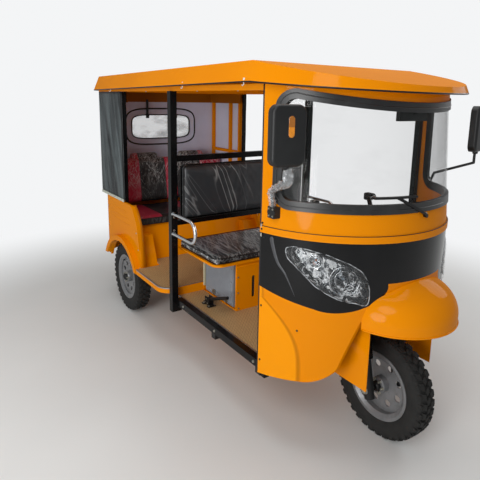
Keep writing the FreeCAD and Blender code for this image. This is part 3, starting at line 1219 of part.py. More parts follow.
def build():
    piece("chassis_frame", chassis())
    piece("leaf_springs", leaf_springs())
    piece("rear_axle", rear_axle())
    piece("front_floor", front_floor())
    piece("rear_floor", rear_floor())
    piece("floor_mats", floor_mats())
    piece("side_panels", side_panels())
    piece("back_panel", back_panel())
    piece("bench_box", bench_box())
    piece("bench_cushion", bench_cushion())
    piece("bench_backrest", bench_backrest())
    piece("side_frames", side_frame())
    piece("side_curtains", side_curtain())
    piece("rear_curtain", rear_curtain())
    piece("rear_window", rear_window())
    piece("cabin_posts", cabin_posts())
    piece("sills", sills())
    piece("roof", roof())
    piece("roof_frame", roof_frame())
    piece("front_apron", front_apron())
    piece("lamp_band", lamp_band())
    piece("headlamp_lenses", headlamp_lens())
    piece("headlamp_housings", headlamp_housing())
    piece("front_cowl", front_cowl())
    piece("windshield_seal", windshield_seal())
    piece("windshield", windshield())
    piece("nose_mudguard", nose_mudguard())
    piece("front_wheel_bay", wheel_bay())
    piece("steering_head", steering_head())
    piece("front_fork", front_fork())
    piece("fork_springs", fork_springs())
    bar, points = handlebar()
    piece("handlebar", bar)
    piece("handlebar_grips", grips(points))
    front_x = s.rear_axle_x + s.wheelbase
    piece("front_tyre", tyre("front_tyre_body", front_x, 0))
    piece("front_rim", rim("front_wheel", front_x, as_rule(0), s.axle_r + s.bearing_gap, 0))
    for side, out in (("right", -1), ("left", 1)):
        y = s.track / 2 * out
        piece("rear_tyre_" + side, tyre("rear_tyre_body_" + side, s.rear_axle_x, y))
        piece("rear_rim_" + side, rim("rear_wheel_" + side, s.rear_axle_x, y, s.rear_stub_r + s.bearing_gap, out))
    piece("seat_box", seat_box())
    piece("driver_cushion", driver_cushion())
    piece("driver_backrest", driver_backrest())
    piece("backrest_frame", backrest_frame())
    piece("battery_case", battery_case())
    piece("parking_lever", parking_lever())
    piece("brake_pedal", brake_pedal())
    piece("grab_rails", grab_rail())
    piece("mirrors", mirrors())
    piece("dashboard", dashboard())
    piece("interior_mirror", interior_mirror())
    piece("wiper", wiper())
    piece("tail_lamps", tail_lamps())
    piece("rear_bumper", rear_bumper())


def check():
    """Stop on any object that failed or any piece that isn't a sound solid."""
    faults = ["%s is %s" % (item.Label, item.State) for item in doc.Objects
              if "Invalid" in item.State or "Error" in item.State]
    for label, item in NODES.items():
        shape = item.Shape
        if shape.isNull() or not shape.isValid() or not shape.Solids:
            faults.append("%s has no sound shape" % label)
    if faults:
        raise RuntimeError("; ".join(faults))


def write():
    os.makedirs("parts", exist_ok=True)
    for label, item in NODES.items():
        item.Shape.exportStep("parts/%s.step" % label)
        box = item.Shape.BoundBox
        print("%-20s %2d solids  x %7.1f %7.1f  y %7.1f %7.1f  z %7.1f %7.1f" % (
            label, len(item.Shape.Solids), box.XMin, box.XMax, box.YMin, box.YMax, box.ZMin, box.ZMax))


build()
doc.recompute()
check()
write()
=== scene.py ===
import bmesh
import bpy
from math import acos, asin, atan2, copysign, cos, exp, hypot, pi, radians, sin, sqrt, tan
from mathutils import Matrix, Vector, noise


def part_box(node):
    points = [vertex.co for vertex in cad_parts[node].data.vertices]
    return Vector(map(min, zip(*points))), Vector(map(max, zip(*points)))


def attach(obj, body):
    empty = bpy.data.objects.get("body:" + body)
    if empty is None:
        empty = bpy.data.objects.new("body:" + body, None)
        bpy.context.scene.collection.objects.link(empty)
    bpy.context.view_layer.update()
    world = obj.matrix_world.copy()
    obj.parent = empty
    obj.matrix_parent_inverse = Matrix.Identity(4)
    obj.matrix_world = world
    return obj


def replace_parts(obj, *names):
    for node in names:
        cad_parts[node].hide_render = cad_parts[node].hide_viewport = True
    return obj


# A passenger auto rickshaw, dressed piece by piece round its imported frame.
# Metres. X forward, Y to the vehicle's left, Z up from the ground.
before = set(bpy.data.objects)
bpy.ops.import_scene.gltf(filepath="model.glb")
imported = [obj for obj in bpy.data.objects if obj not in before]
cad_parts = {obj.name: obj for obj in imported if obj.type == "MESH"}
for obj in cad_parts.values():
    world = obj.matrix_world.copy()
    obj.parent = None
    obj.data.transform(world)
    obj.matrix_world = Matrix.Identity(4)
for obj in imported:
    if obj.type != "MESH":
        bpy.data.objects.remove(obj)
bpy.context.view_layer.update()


# Camera: it stands in front of the right corner, a little above a person's eye, and looks back
# along the open side. The optical axis lies above the middle of the picture.
EYE = Vector((2.565, -1.844, 1.656))
YAW, PITCH, ROLL = radians(55.95), radians(11.2), radians(0.95)
SENSOR, PICTURE, FOCAL, AXIS_UP = 36, 480, 483, 45.3  # millimetres, then picture points
look = Vector((-sin(YAW) * cos(PITCH), cos(YAW) * cos(PITCH), -sin(PITCH)))
level = look.cross(Vector((0, 0, 1))).normalized()
rise = level.cross(look)
right = level * cos(ROLL) + rise * sin(ROLL)
top = rise * cos(ROLL) - level * sin(ROLL)
camera_data = bpy.data.cameras.new("camera")
camera_data.sensor_width = SENSOR
camera_data.lens = SENSOR * FOCAL / PICTURE
camera_data.shift_y = -AXIS_UP / PICTURE
camera = bpy.data.objects.new("camera", camera_data)
camera.matrix_world = Matrix.Translation(EYE) @ Matrix((right, top, -look)).transposed().to_4x4()
bpy.context.collection.objects.link(camera)
bpy.context.scene.camera = camera


# Studio: a pale floor, a white surround that gloss and glass see too, and four soft lamps that
# stand well off the vehicle.
bpy.context.scene.view_settings.view_transform = "Standard"


class Wire:
    """A shader socket that can be reckoned with: each sign adds one Math node."""

    def __init__(self, maker, socket):
        self.maker, self.socket = maker, socket

    def reckon(self, operation, *values):
        return self.maker.node("ShaderNodeMath", {"operation": operation}, *values)

    def __add__(self, other):
        return self.reckon("ADD", self, other)

    __radd__ = __add__

    def __sub__(self, other):
        return self.reckon("SUBTRACT", self, other)

    def __rsub__(self, other):
        return self.reckon("SUBTRACT", other, self)

    def __mul__(self, other):
        return self.reckon("MULTIPLY", self, other)

    __rmul__ = __mul__

    def __truediv__(self, other):
        return self.reckon("DIVIDE", self, other)

    def __rtruediv__(self, other):
        return self.reckon("DIVIDE", other, self)

    def __pow__(self, other):
        return self.reckon("POWER", self, other)

    def __gt__(self, other):
        return self.reckon("GREATER_THAN", self, other)

    def __lt__(self, other):
        return self.reckon("LESS_THAN", self, other)

    def sine(self):
        return self.reckon("SINE", self)

    def size(self):
        return self.reckon("ABSOLUTE", self)

    def eased(self):
        """From 0 to 1 with a soft start and end."""
        return self * self * (3 - 2 * self)

    def limited(self):
        return self.maker.node("ShaderNodeClamp", {}, self)


class Maker:
    """A node tree in the making. node() takes a type, its settings and the values or wires it is fed."""

    def __init__(self, tree):
        self.tree = tree

    def node(self, kind, settings, *values, out=0, **named):
        node = self.tree.nodes.new(kind)
        for key, value in settings.items():
            if key == "stops":
                for number, (place, colour) in enumerate(value):
                    stop = node.color_ramp.elements[number] if number < 2 else node.color_ramp.elements.new(place)
                    stop.position, stop.color = place, shade(colour)
            else:
                setattr(node, key, value)
        for place, value in list(enumerate(values)) + list(named.items()):
            self.feed(node.inputs[place.replace("_", " ") if isinstance(place, str) else place], value)
        return Wire(self, node.outputs[out]) if len(node.outputs) else None

    def feed(self, socket, value):
        """Link a wire, or set a value; a colour may be given by its six-digit code."""
        if isinstance(value, Wire):
            self.tree.links.new(value.socket, socket)
        elif value is not None:
            socket.default_value = shade(value) if socket.type == "RGBA" and isinstance(value, str) else value

    def mix(self, factor, first, second):
        none = [None] * 5
        return self.node("ShaderNodeMix", {"data_type": "RGBA"}, factor, *none, first, second, out=2)


class Finish(Maker):
    """A surface finish: a Principled shader whose even values are set here by their socket names."""

    def __init__(self, name, base, **even):
        self.made = bpy.data.materials.new(name)
        self.made.use_nodes = True
        super().__init__(self.made.node_tree)
        self.shader = self.tree.nodes["Principled BSDF"]
        self.wear(Base_Color=base, **even)

    def wear(self, **sockets):
        for name, value in sockets.items():
            self.feed(self.shader.inputs[name.replace("_", " ")], value)
        return self

    def place(self, stretch=(1, 1, 1)):
        spot = self.node("ShaderNodeTexCoord", {}, out=3)
        return spot if stretch == (1, 1, 1) else self.node("ShaderNodeVectorMath", {"operation": "MULTIPLY"},
                                                          spot, stretch)

    def axis(self, letter):
        return self.node("ShaderNodeSeparateXYZ", {}, self.place(), out="XYZ".index(letter))

    def cloud(self, scale, detail, rough=0.5, stretch=(1, 1, 1), bend=0.0):
        return self.node("ShaderNodeTexNoise", {}, Vector=self.place(stretch), Scale=scale, Detail=detail,
                         Roughness=rough, Distortion=bend)

    def patches(self, floor, scale, detail, rough=0.5, stretch=(1, 1, 1)):
        """Broad spots: where a cloud rises over a floor, and by how much."""
        return (self.cloud(scale, detail, rough, stretch) - floor).limited()

    def cells(self, scale):
        return self.node("ShaderNodeTexVoronoi", {}, Vector=self.place(), Scale=scale)

    def ramp(self, wire, *stops):
        return self.node("ShaderNodeValToRGB", {"stops": stops}, wire)

    def relief(self, height, distance, strength):
        bump = self.node("ShaderNodeBump", {}, Strength=strength, Distance=distance, Height=height)
        return self.wear(Normal=bump)

    def grain(self, scale, detail, distance, strength, rough=0.5):
        """An even small roughness of the surface."""
        return self.relief(self.cloud(scale, detail, rough), distance, strength)

    def worn(self, share, clean, soiled, rough):
        """A second colour where share says so, with a roughness to suit."""
        return self.wear(Base_Color=self.mix(share, clean, soiled), Roughness=rough)


def shade(code):
    """A colour from its usual six-digit code, as linear light."""
    parts = [int(code[place:place + 2], 16) / 255 for place in (0, 2, 4)]
    return tuple(part / 12.92 if part < 0.04045 else ((part + 0.055) / 1.055) ** 2.4 for part in parts) + (1.0,)


def carried(item, body):
    """Let a piece ride on a body."""
    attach(item, body)
    return item


def mesh_piece(name, made, finish, body="body", smooth=True):
    """Turn a bmesh into a piece, its faces turned outwards."""
    bmesh.ops.recalc_face_normals(made, faces=made.faces)
    data = bpy.data.meshes.new(name)
    made.to_mesh(data)
    made.free()
    if smooth:
        data.shade_smooth()
    data.materials.append(finish.made)
    item = bpy.data.objects.new(name, data)
    bpy.context.collection.objects.link(item)
    return carried(item, body)


floor_finish = Finish("studio_floor", "E4E4E2", Roughness=0.7)
floor_finish.wear(Base_Color=floor_finish.mix(floor_finish.cloud(1.5, 3), "E6E6E4", "DEDEDC"))
far = floor_finish.node("ShaderNodeVectorMath", {"operation": "LENGTH"}, floor_finish.place(), out=1)
far = ((far - 1.9) * 0.55).limited()
eye_rays = [floor_finish.node("ShaderNodeLightPath", {}, out=number) for number in (0, 3, 6)]
glow = floor_finish.node("ShaderNodeEmission", {}, (0.93, 0.94, 0.95, 1), 0.97)
blended = floor_finish.node("ShaderNodeMixShader", {},
                            far.eased() * (eye_rays[0] + eye_rays[1] * 0.35 + eye_rays[2]).limited(),
                            Wire(floor_finish, floor_finish.shader.outputs[0]), glow)
floor_finish.node("ShaderNodeOutputMaterial", {"is_active_output": True}, blended)
floor_mesh = bmesh.new()
bmesh.ops.create_grid(floor_mesh, x_segments=1, y_segments=1, size=30)
floor_data = bpy.data.meshes.new("studio_floor")
floor_mesh.to_mesh(floor_data)
floor_mesh.free()
floor_data.materials.append(floor_finish.made)
floor = bpy.data.objects.new("studio_floor", floor_data)
floor.location.z = -0.0005
bpy.context.collection.objects.link(floor)

world = bpy.data.worlds.new("studio")
bpy.context.scene.world = world
world.use_nodes = True
air = Maker(world.node_tree)
rays = {name: air.node("ShaderNodeLightPath", {}, out=number)
        for number, name in ((0, "camera"), (3, "glossy"), (6, "transmission"))}
seen = (rays["camera"] + rays["glossy"] * 0.25 + rays["transmission"]).limited()
backdrop = world.node_tree.nodes["Background"]
air.feed(backdrop.inputs["Color"], (0.93, 0.94, 0.95, 1))
air.feed(backdrop.inputs["Strength"], 0.25 + seen * 0.72)


def soft_lamp(name, place, aim, width, power):
    light = bpy.data.lights.new(name, "AREA")
    light.shape, light.size, light.energy = "DISK", width, power
    lamp = bpy.data.objects.new(name, light)
    lamp.location = place
    lamp.rotation_euler = (Vector(aim) - Vector(place)).to_track_quat("-Z", "Y").to_euler()
    bpy.context.collection.objects.link(lamp)


soft_lamp("key", (3.2, -4.2, 4.6), (0, 0, 0.8), 3.0, 97)
soft_lamp("side_fill", (2.2, -4.4, 1.5), (-0.9, 0, 1.2), 2.4, 92)
soft_lamp("far_fill", (1.0, 5.0, 3.6), (0, 0, 0.8), 3.0, 65)
soft_lamp("overhead", (0, 0, 5.2), (0, 0, 0), 4.5, 102)


def coat_node(finish, *nodes):
    """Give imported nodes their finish."""
    for node in nodes:
        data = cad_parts[node].data
        data.materials.clear()
        data.materials.append(finish.made)


# Amber enamel: sprayed over pressed steel and moulded panels, glossy, with a trace of orange peel
# and a dull bloom of dust low down.
enamel = Finish("amber_enamel", "E88A02", Roughness=0.3, Coat_Weight=0.2, Coat_Roughness=0.08,
                Specular_IOR_Level=0.0)
low_down = ((0.62 - enamel.axis("Z")) * 2.2).limited()
dust = enamel.patches(0.42, 9, 5, 0.65) * low_down * 2.0
tone = enamel.mix(enamel.cloud(2.2, 2), "EB8E02", "E18401")
enamel.wear(Base_Color=enamel.mix(dust.limited() * 0.2, tone, "C98A34"), Roughness=0.24 + dust * 0.35)
enamel.grain(420, 2, 0.00012, 0.35)


# Ladder frame, steering head and leaf springs: rolled steel under satin black paint that grit has
# dulled and scratched in places.
def painted_black(name, rough, wear_scale=14):
    finish = Finish(name, "0B0B0C", Coat_Weight=0.15, Coat_Roughness=0.3, Specular_IOR_Level=0.3)
    worn = finish.patches(0.52, wear_scale, 6, 0.7) * 3.0
    finish.worn(worn.limited() * 0.5, "0D0D0E", "2A2826", rough + worn * 0.2)
    return finish.grain(260, 3, 0.0002, 0.3)


chassis_paint = painted_black("chassis_black_paint", 0.42)
coat_node(chassis_paint, "chassis_frame", "steering_head")


def add_cylinder(made, start, end, radius, sides, top_radius=None):
    """A closed bar from one point to another."""
    start, end = Vector(start), Vector(end)
    way = end - start
    turned = way.to_track_quat("Z", "Y").to_matrix().to_4x4()
    spot = Matrix.Translation((start + end) / 2) @ turned
    bmesh.ops.create_cone(made, cap_ends=True, segments=sides, radius1=radius,
                          radius2=radius if top_radius is None else top_radius, depth=way.length, matrix=spot)


def add_box(made, corner, other, soft=0.0):
    """A box between two opposite corners, with its edges rounded by a small radius."""
    low, high = (Vector([pick(pair) for pair in zip(corner, other)]) for pick in (min, max))
    spot = Matrix.Translation((low + high) / 2) @ Matrix.Diagonal((*(high - low), 1))
    found = bmesh.ops.create_cube(made, size=1, matrix=spot)
    if soft:
        edges = list({edge for vert in found["verts"] for edge in vert.link_edges})
        bmesh.ops.bevel(made, geom=edges, offset=soft, segments=2, profile=0.5, affect="EDGES",
                        clamp_overlap=True)


def boxes(*each):
    """A fresh bmesh of boxes, each given as for add_box()."""
    made = bmesh.new()
    for box in each:
        add_box(made, *box)
    return made


def full_turn(count):
    """Even angles of one turn."""
    return [2 * pi * n / count for n in range(count)]


def ring(middle, one, two, radius, count):
    """Points round a circle that lies along two directions."""
    return [middle + (one * cos(turn) + two * sin(turn)) * radius for turn in full_turn(count)]


def skin(made, rows, around=True, ends=False):
    """Faces between neighbouring rows of points; a row may close on itself and the ends be capped."""
    for first, second in zip(rows, rows[1:]):
        for a in range(len(first) if around else len(first) - 1):
            b = (a + 1) % len(first)
            made.faces.new((first[a], first[b], second[b], second[a]))
    if ends:
        made.faces.new(rows[0][::-1])
        made.faces.new(rows[-1])


def grown(name, tree, start, values):
    """Evaluate a Geometry Nodes tree on a starting mesh and keep the plain mesh that it makes."""
    item = bpy.data.objects.new(name, start)
    bpy.context.collection.objects.link(item)
    change = item.modifiers.new(tree.name, "NODES")
    change.node_group = tree
    for socket in tree.interface.items_tree:
        if socket.in_out == "INPUT" and socket.name in values:
            change[socket.identifier] = values[socket.name]
    made = bpy.data.meshes.new_from_object(item.evaluated_get(bpy.context.evaluated_depsgraph_get()))
    item.modifiers.clear()
    item.data = made
    return item


def new_tree(name, **sockets):
    """A Geometry Nodes tree that takes a form, a finish and other named values; its maker and wires."""
    tree = bpy.data.node_groups.new(name, "GeometryNodeTree")
    sockets = {"Form": "Geometry", **sockets, "Finish": "Material"}
    for label, kind in sockets.items():
        tree.interface.new_socket(label, in_out="INPUT", socket_type="NodeSocket" + kind)
    tree.interface.new_socket("Made", in_out="OUTPUT", socket_type="NodeSocketGeometry")
    make = Maker(tree)
    given = make.node("NodeGroupInput", {}).socket.node
    return make, {label: Wire(make, given.outputs[label]) for label in sockets}


def end_tree(make, points, form, turned, finish):
    """Set a form on points, make it real and coat it."""
    placed = make.node("GeometryNodeInstanceOnPoints", {}, points, Instance=form, Rotation=turned)
    real = make.node("GeometryNodeRealizeInstances", {}, placed)
    make.node("NodeGroupOutput", {}, make.node("GeometryNodeSetMaterial", {}, real, Material=finish))
    return make.tree


def bolt_tree():
    """Bolt heads on washers, stood on loose points along each point's own direction."""
    make, wires = new_tree("bolt_heads", Radius="Float", Height="Float", Sides="Int")
    radius, height = wires["Radius"], wires["Height"]
    head = make.node("GeometryNodeMeshCylinder", {}, Vertices=wires["Sides"], Radius=radius, Depth=height)
    washer = make.node("GeometryNodeMeshCylinder", {}, Vertices=14, Radius=radius * 1.3, Depth=height * 0.3)
    lift = make.node("ShaderNodeCombineXYZ", {}, 0.0, 0.0, height * 0.6)
    head = make.node("GeometryNodeTransform", {}, head, Translation=lift)
    both = make.node("GeometryNodeJoinGeometry", {}, washer)
    make.tree.links.new(head.socket, both.socket.node.inputs[0])
    way = make.node("GeometryNodeInputNamedAttribute", {"data_type": "FLOAT_VECTOR"}, Name="way")
    turned = make.node("FunctionNodeAlignRotationToVector", {"axis": "Z"}, Vector=way)
    return end_tree(make, wires["Form"], both, turned, wires["Finish"])


bolt_heads = bolt_tree()


def bolts(name, places, finish, radius, height, sides=6, body="body"):
    """Heads at (point, direction) pairs, made by the bolt tree."""
    start = bpy.data.meshes.new(name)
    start.from_pydata([point for point, way in places], [], [])
    ways = start.attributes.new("way", "FLOAT_VECTOR", "POINT")
    for number, (point, way) in enumerate(places):
        ways.data[number].vector = Vector(way).normalized()
    values = {"Radius": radius, "Height": height, "Sides": sides, "Finish": finish.made}
    return carried(grown(name, bolt_heads, start, values), body)


def repeat_tree():
    """A form set down again and again: each time a step further on and a turn further round Y."""
    make, wires = new_tree("repeat", Count="Int", Start="Vector", Step="Vector", Turn="Float")
    number = make.node("GeometryNodeInputIndex", {})
    spot = make.node("ShaderNodeVectorMath", {"operation": "MULTIPLY_ADD"}, wires["Step"], number, wires["Start"])
    points = make.node("GeometryNodePoints", {}, wires["Count"], spot)
    turned = make.node("ShaderNodeCombineXYZ", {}, 0.0, number * wires["Turn"], 0.0)
    return end_tree(make, points, wires["Form"], turned, wires["Finish"])


in_rows = repeat_tree()


def repeated(name, form, count, finish, start, step=(0, 0, 0), turn=0.0, body="body"):
    """A piece made of one small form repeated by the repeat tree."""
    bmesh.ops.recalc_face_normals(form, faces=form.faces)
    first = bpy.data.meshes.new(name)
    form.to_mesh(first)
    form.free()
    values = {"Count": count, "Start": start, "Step": step, "Turn": turn, "Finish": finish.made}
    return carried(grown(name, in_rows, first, values), body)


def circle_of(count, radius, centre, way):
    """Places for bolts at even steps round a circle that faces along Y."""
    return [(spot, way) for spot in ring(Vector(centre), Vector((1, 0, 0)), Vector((0, 0, 1)), radius, count)]


spring_low, spring_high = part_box("leaf_springs")
AXLE_X, FRONT_AXLE_X, AXLE_Z, REAR_WHEEL_Y = -0.930, 1.150, 0.267, 0.506
LEAVES, LEAF_T, SPRING_Y, LEAF_HALF_W, SEAT_TOP, DROP = 5, 0.0048, 0.360, 0.0245, 0.3233, 0.062
CLIP_IN, CLIP_OUT, CLIP_FOOT = 0.331, 0.389, 0.222
half = (spring_high.x - spring_low.x) / 2
bend = (half * half + DROP * DROP) / (2 * DROP)
spring_mesh, clip_nuts = bmesh.new(), []
for side in (-1, 1):
    for leaf in range(LEAVES):
        reach, rows = half * (1 - 0.17 * leaf), []
        near, far = SPRING_Y * side - LEAF_HALF_W, SPRING_Y * side + LEAF_HALF_W
        for step in range(25):
            x = -reach + 2 * reach * step / 24
            base = SEAT_TOP + bend - sqrt(bend * bend - x * x)
            bottom, over = base - LEAF_T * (leaf + 1) + 0.0004, base - LEAF_T * leaf - 0.0004
            rows.append([spring_mesh.verts.new((AXLE_X + x, y, z))
                         for y, z in ((near, bottom), (far, bottom), (far, over), (near, over))])
        skin(spring_mesh, rows, ends=True)
for side in (-1, 1):
    for clip_x in (AXLE_X - 0.045, AXLE_X + 0.045):
        for clip_y in (CLIP_IN, CLIP_OUT):
            foot = Vector((clip_x, clip_y * side, CLIP_FOOT))
            add_cylinder(spring_mesh, foot, foot + Vector((0, 0, 0.113)), 0.0048, 10)
            clip_nuts.append((foot + Vector((0, 0, 0.0005)), (0, 0, -1)))
        add_box(spring_mesh, (clip_x - 0.006, CLIP_IN * side, 0.3245),
                (clip_x + 0.006, CLIP_OUT * side, 0.3345), 0.003)
    add_box(spring_mesh, (AXLE_X - 0.055, 0.320 * side, CLIP_FOOT), (AXLE_X + 0.055, 0.400 * side, 0.2345), 0.002)
springs = mesh_piece("leaf_packs", spring_mesh, chassis_paint, smooth=False)
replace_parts(springs, "leaf_springs")
bolts("spring_clip_nuts", clip_nuts, chassis_paint, 0.0080, 0.0070)

# Rear axle: cast differential and drawn tube under rough black paint, with the finned motor bolted
# to the side of the case.
cast_paint = painted_black("cast_black_paint", 0.6, 30)
cast_paint.grain(130, 4, 0.0006, 0.6, 0.7)
coat_node(cast_paint, "rear_axle", "front_fork")
MOTOR_X, MOTOR_LOW, MOTOR_HIGH, MOTOR_R = -0.852, -0.265, -0.035, 0.078
fin = boxes(((MOTOR_R - 0.004, MOTOR_LOW + 0.02, -0.0018), (MOTOR_R + 0.009, MOTOR_HIGH - 0.03, 0.0018)))
repeated("motor_fins", fin, 22, cast_paint, (MOTOR_X, 0, AXLE_Z), turn=pi / 11)
bolts("axle_case_bolts", circle_of(10, 0.083, (AXLE_X, -0.035, AXLE_Z), (0, -1, 0))
      + circle_of(10, 0.083, (AXLE_X, 0.115, AXLE_Z), (0, 1, 0)), cast_paint, 0.0065, 0.0064)


# Tyres: block tread over a plain sidewall, black rubber that greys with road dust. The tread blocks
# stand in three staggered rows and the outer rows turn down over the shoulder.
rubber = Finish("tyre_rubber", "191918", Roughness=0.78, Specular_IOR_Level=0.35)
road = rubber.cloud(24, 5, 0.6)
rubber.worn((road * 1.3 - 0.3).limited(), "141414", "2E2D2B", 0.66 + road * 0.25)
rubber.grain(520, 2, 0.0003, 0.4)
TYRE_R, BEAD_R, GROOVE = 0.267, 0.1685, 0.0085


def tread_half_width(radius):
    """How far the carcass reaches to each side at a radius."""
    ratio = (radius - BEAD_R) / (TYRE_R - GROOVE - BEAD_R)
    return 0.039 + 0.0148 * sin(min(1, max(0, ratio)) * pi) ** 0.8


def carcass_profile():
    """Across and radius, from one bead round the tread to the other."""
    side = []
    for step in range(15):
        radius = BEAD_R + (TYRE_R - GROOVE - 0.016 - BEAD_R) * step / 14
        swell = 0.0014 if step in (3, 10) else 0
        side.append((tread_half_width(radius) + swell, radius))
    crown = [(0.0465, TYRE_R - GROOVE - 0.008), (0.038, TYRE_R - GROOVE - 0.003),
             (0.02, TYRE_R - GROOVE - 0.0006)]
    half = side + crown
    return half + [(0, TYRE_R - GROOVE)] + [(-across, radius) for across, radius in reversed(half)]


def lathe(made, profile, centre, segments):
    """Turn an (across, radius) profile about an axle line along Y."""
    rings = []
    for angle in full_turn(segments):
        way = Vector((cos(angle), 0, sin(angle)))
        rings.append([made.verts.new(Vector(centre) + way * radius + Vector((0, across, 0)))
                      for across, radius in profile])
    skin(made, rings + [rings[0]], around=False)


def tread_block(made, angle, across, width, length, skew, low_r, high_r):
    """One lug about an axle at the origin: a tapered block lying on the carcass."""
    way = Vector((cos(angle), 0, sin(angle)))
    along = Vector((-sin(angle), 0, cos(angle)))
    corners = []
    for radius_in, grow in ((low_r, 1.12), (high_r, 1.0)):
        for a, b in ((-1, -1), (1, -1), (1, 1), (-1, 1)):
            at = across + a * width / 2 * grow
            fall = max(0, abs(at) - 0.03) ** 2 * 11
            corners.append(made.verts.new(way * (radius_in - fall) + along * (b * length / 2 * grow + a * skew)
                                          + Vector((0, at, 0))))
    skin(made, [corners[:4], corners[4:]], ends=True)


def tyre(name, node, centre, body, way):
    """A smooth carcass, and the lugs of one pitch repeated round it."""
    made, lugs, half = bmesh.new(), bmesh.new(), pi / 36
    lathe(made, carcass_profile(), centre, 96)
    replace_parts(mesh_piece(name + "_carcass", made, rubber, body), node)
    tread_block(lugs, 0, 0, 0.019, 0.027, 0.005 * way, TYRE_R - GROOVE - 0.004, TYRE_R - 0.0003)
    for side in (-1, 1):
        for across, width, length, skew, low_r, high_r in (
                (0.0275, 0.022, 0.030, 0.004, GROOVE + 0.004, 0.0005),
                (0.0445, 0.009, 0.023, 0.002, GROOVE + 0.020, 0.0035)):
            tread_block(lugs, half * side * way, side * across, width, length, skew * way * side,
                        TYRE_R - low_r, TYRE_R - high_r)
    repeated(name + "_lugs", lugs, 36, rubber, centre, turn=2 * half, body=body)


WHEELS = {"front": ((FRONT_AXLE_X, 0, AXLE_Z), "front_wheel", "front_tyre", 0),
          "rear_right": ((AXLE_X, -REAR_WHEEL_Y, AXLE_Z), "rear_wheel_right", "rear_tyre_right", -1),
          "rear_left": ((AXLE_X, REAR_WHEEL_Y, AXLE_Z), "rear_wheel_left", "rear_tyre_left", 1)}
for place, (centre, body, node, out) in WHEELS.items():
    tyre(place + "_tyre", node, centre, body, -1 if out < 0 else 1)

# Wheels: pressed steel discs in silver grey enamel, a black hub with its nuts and dust cap, and a
# short rubber valve.
# The grey is set darker than the enamel's own grey: painted shade of the wheels.
wheel_grey = Finish("wheel_grey_enamel", "747577", Metallic=0.35, Roughness=0.42, Coat_Weight=0.3,
                    Coat_Roughness=0.2)
grime = wheel_grey.patches(0.46, 22, 5, 0.62) * 2.4
wheel_grey.worn(grime.limited() * 0.6, "7A7B7D", "45423E", 0.36 + grime * 0.3)
wheel_grey.grain(240, 2, 0.0002, 0.3)
coat_node(wheel_grey, "front_rim", "rear_rim_right", "rear_rim_left")
bright = Finish("bright_fastener_zinc", "B9B7AE", Metallic=1.0, Roughness=0.32)
bright.wear(Roughness=0.24 + bright.cloud(90, 3) * 0.22)
for place, (centre, body, node, out) in WHEELS.items():
    hub_mesh, nuts = bmesh.new(), []
    for side in ((out,) if out else (-1, 1)):
        face = centre[1] + side * 0.046
        lathe_profile = [(0, 0.001), (0.020, 0.012), (0.021, 0.019), (0.012, 0.025), (0.002, 0.0265), (0, 0.0265)]
        lathe(hub_mesh, [(across * side, radius) for across, radius in lathe_profile],
              (centre[0], face, centre[2]), 32)
        nuts += circle_of(5 if out else 6, 0.033, (centre[0], face, centre[2]), (0, side, 0))
    side = out or -1
    valve = Vector(centre) + Vector((0.132 * cos(2.1), side * 0.03, 0.132 * sin(2.1)))
    add_cylinder(hub_mesh, valve, valve + Vector((0.006, side * 0.016, 0.004)), 0.0042, 10, 0.003)
    mesh_piece(place + "_hub_cap", hub_mesh, cast_paint, body)
    bolts(place + "_wheel_nuts", nuts, bright, 0.0075, 0.0090, body=body)
    bolts(place + "_wheel_studs", nuts, bright, 0.0042, 0.0145, 10, body)


# Floors: tan rubber sheet rolled with a fine lozenge pattern, glued to boards that are edged with a
# thin aluminium strip and countersunk screws.
mat = Finish("tan_floor_sheet", "C0A584", Roughness=0.62, Specular_IOR_Level=0.3)
spot = mat.place((1, 1, 0))
PITCH_M = 0.016
across_way = mat.node("ShaderNodeVectorRotate", {"rotation_type": "Z_AXIS"}, spot, Angle=radians(45))
run = mat.node("ShaderNodeSeparateXYZ", {}, across_way, out=0) * (pi / PITCH_M)
over = mat.node("ShaderNodeSeparateXYZ", {}, across_way, out=1) * (pi / PITCH_M)
turned = (run.sine() * over.sine()) > 0.35
raised = ((turned * (run * 2).sine().size() + (1 - turned) * (over * 2).sine().size()) * 2.2 - 0.8).limited()
scuffed = mat.patches(0.45, 6, 6, 0.66) * 1.6
# The raised lozenges are lighter and the grooves between them darker: painted shade in the grooves of one tan
# sheet.
mat.wear(Base_Color=mat.mix(scuffed.limited() * 0.5, mat.mix(raised, "8A6A42", "C4A272"),
                            "8A7050"), Roughness=0.52 + scuffed * 0.3)
mat.relief(raised, 0.0012, 0.9)
coat_node(mat, "floor_mats")
aluminium = Finish("edge_aluminium", "A3A5A6", Metallic=1.0, Roughness=0.4)
aluminium.wear(Roughness=0.3 + aluminium.cloud(60, 3, stretch=(1, 8, 8)) * 0.3)


def ways(points, closed=False):
    """The way that a route runs at each of its points."""
    points, last = [Vector(point) for point in points], len(points) - 1
    return [(points[(n + 1) % len(points) if closed else min(n + 1, last)]
             - points[n - 1 if closed else max(n - 1, 0)]).normalized() for n in range(last + 1)]


def strip_along(made, points, width, low_z, high_z, inner):
    """A flat strip beside a route on the floor; inner is the side of it, 1 left or -1 right."""
    rows = []
    for (x, y), way in zip(points, ways(points)):
        over, out = -way.y * inner * width, way.x * inner * width
        rows.append([made.verts.new((x + over * share, y + out * share, z)) for share, z in
                     ((0, low_z), (0, high_z - 0.0006), (0.08, high_z), (1, high_z), (1, low_z))])
    skin(made, rows, ends=True)


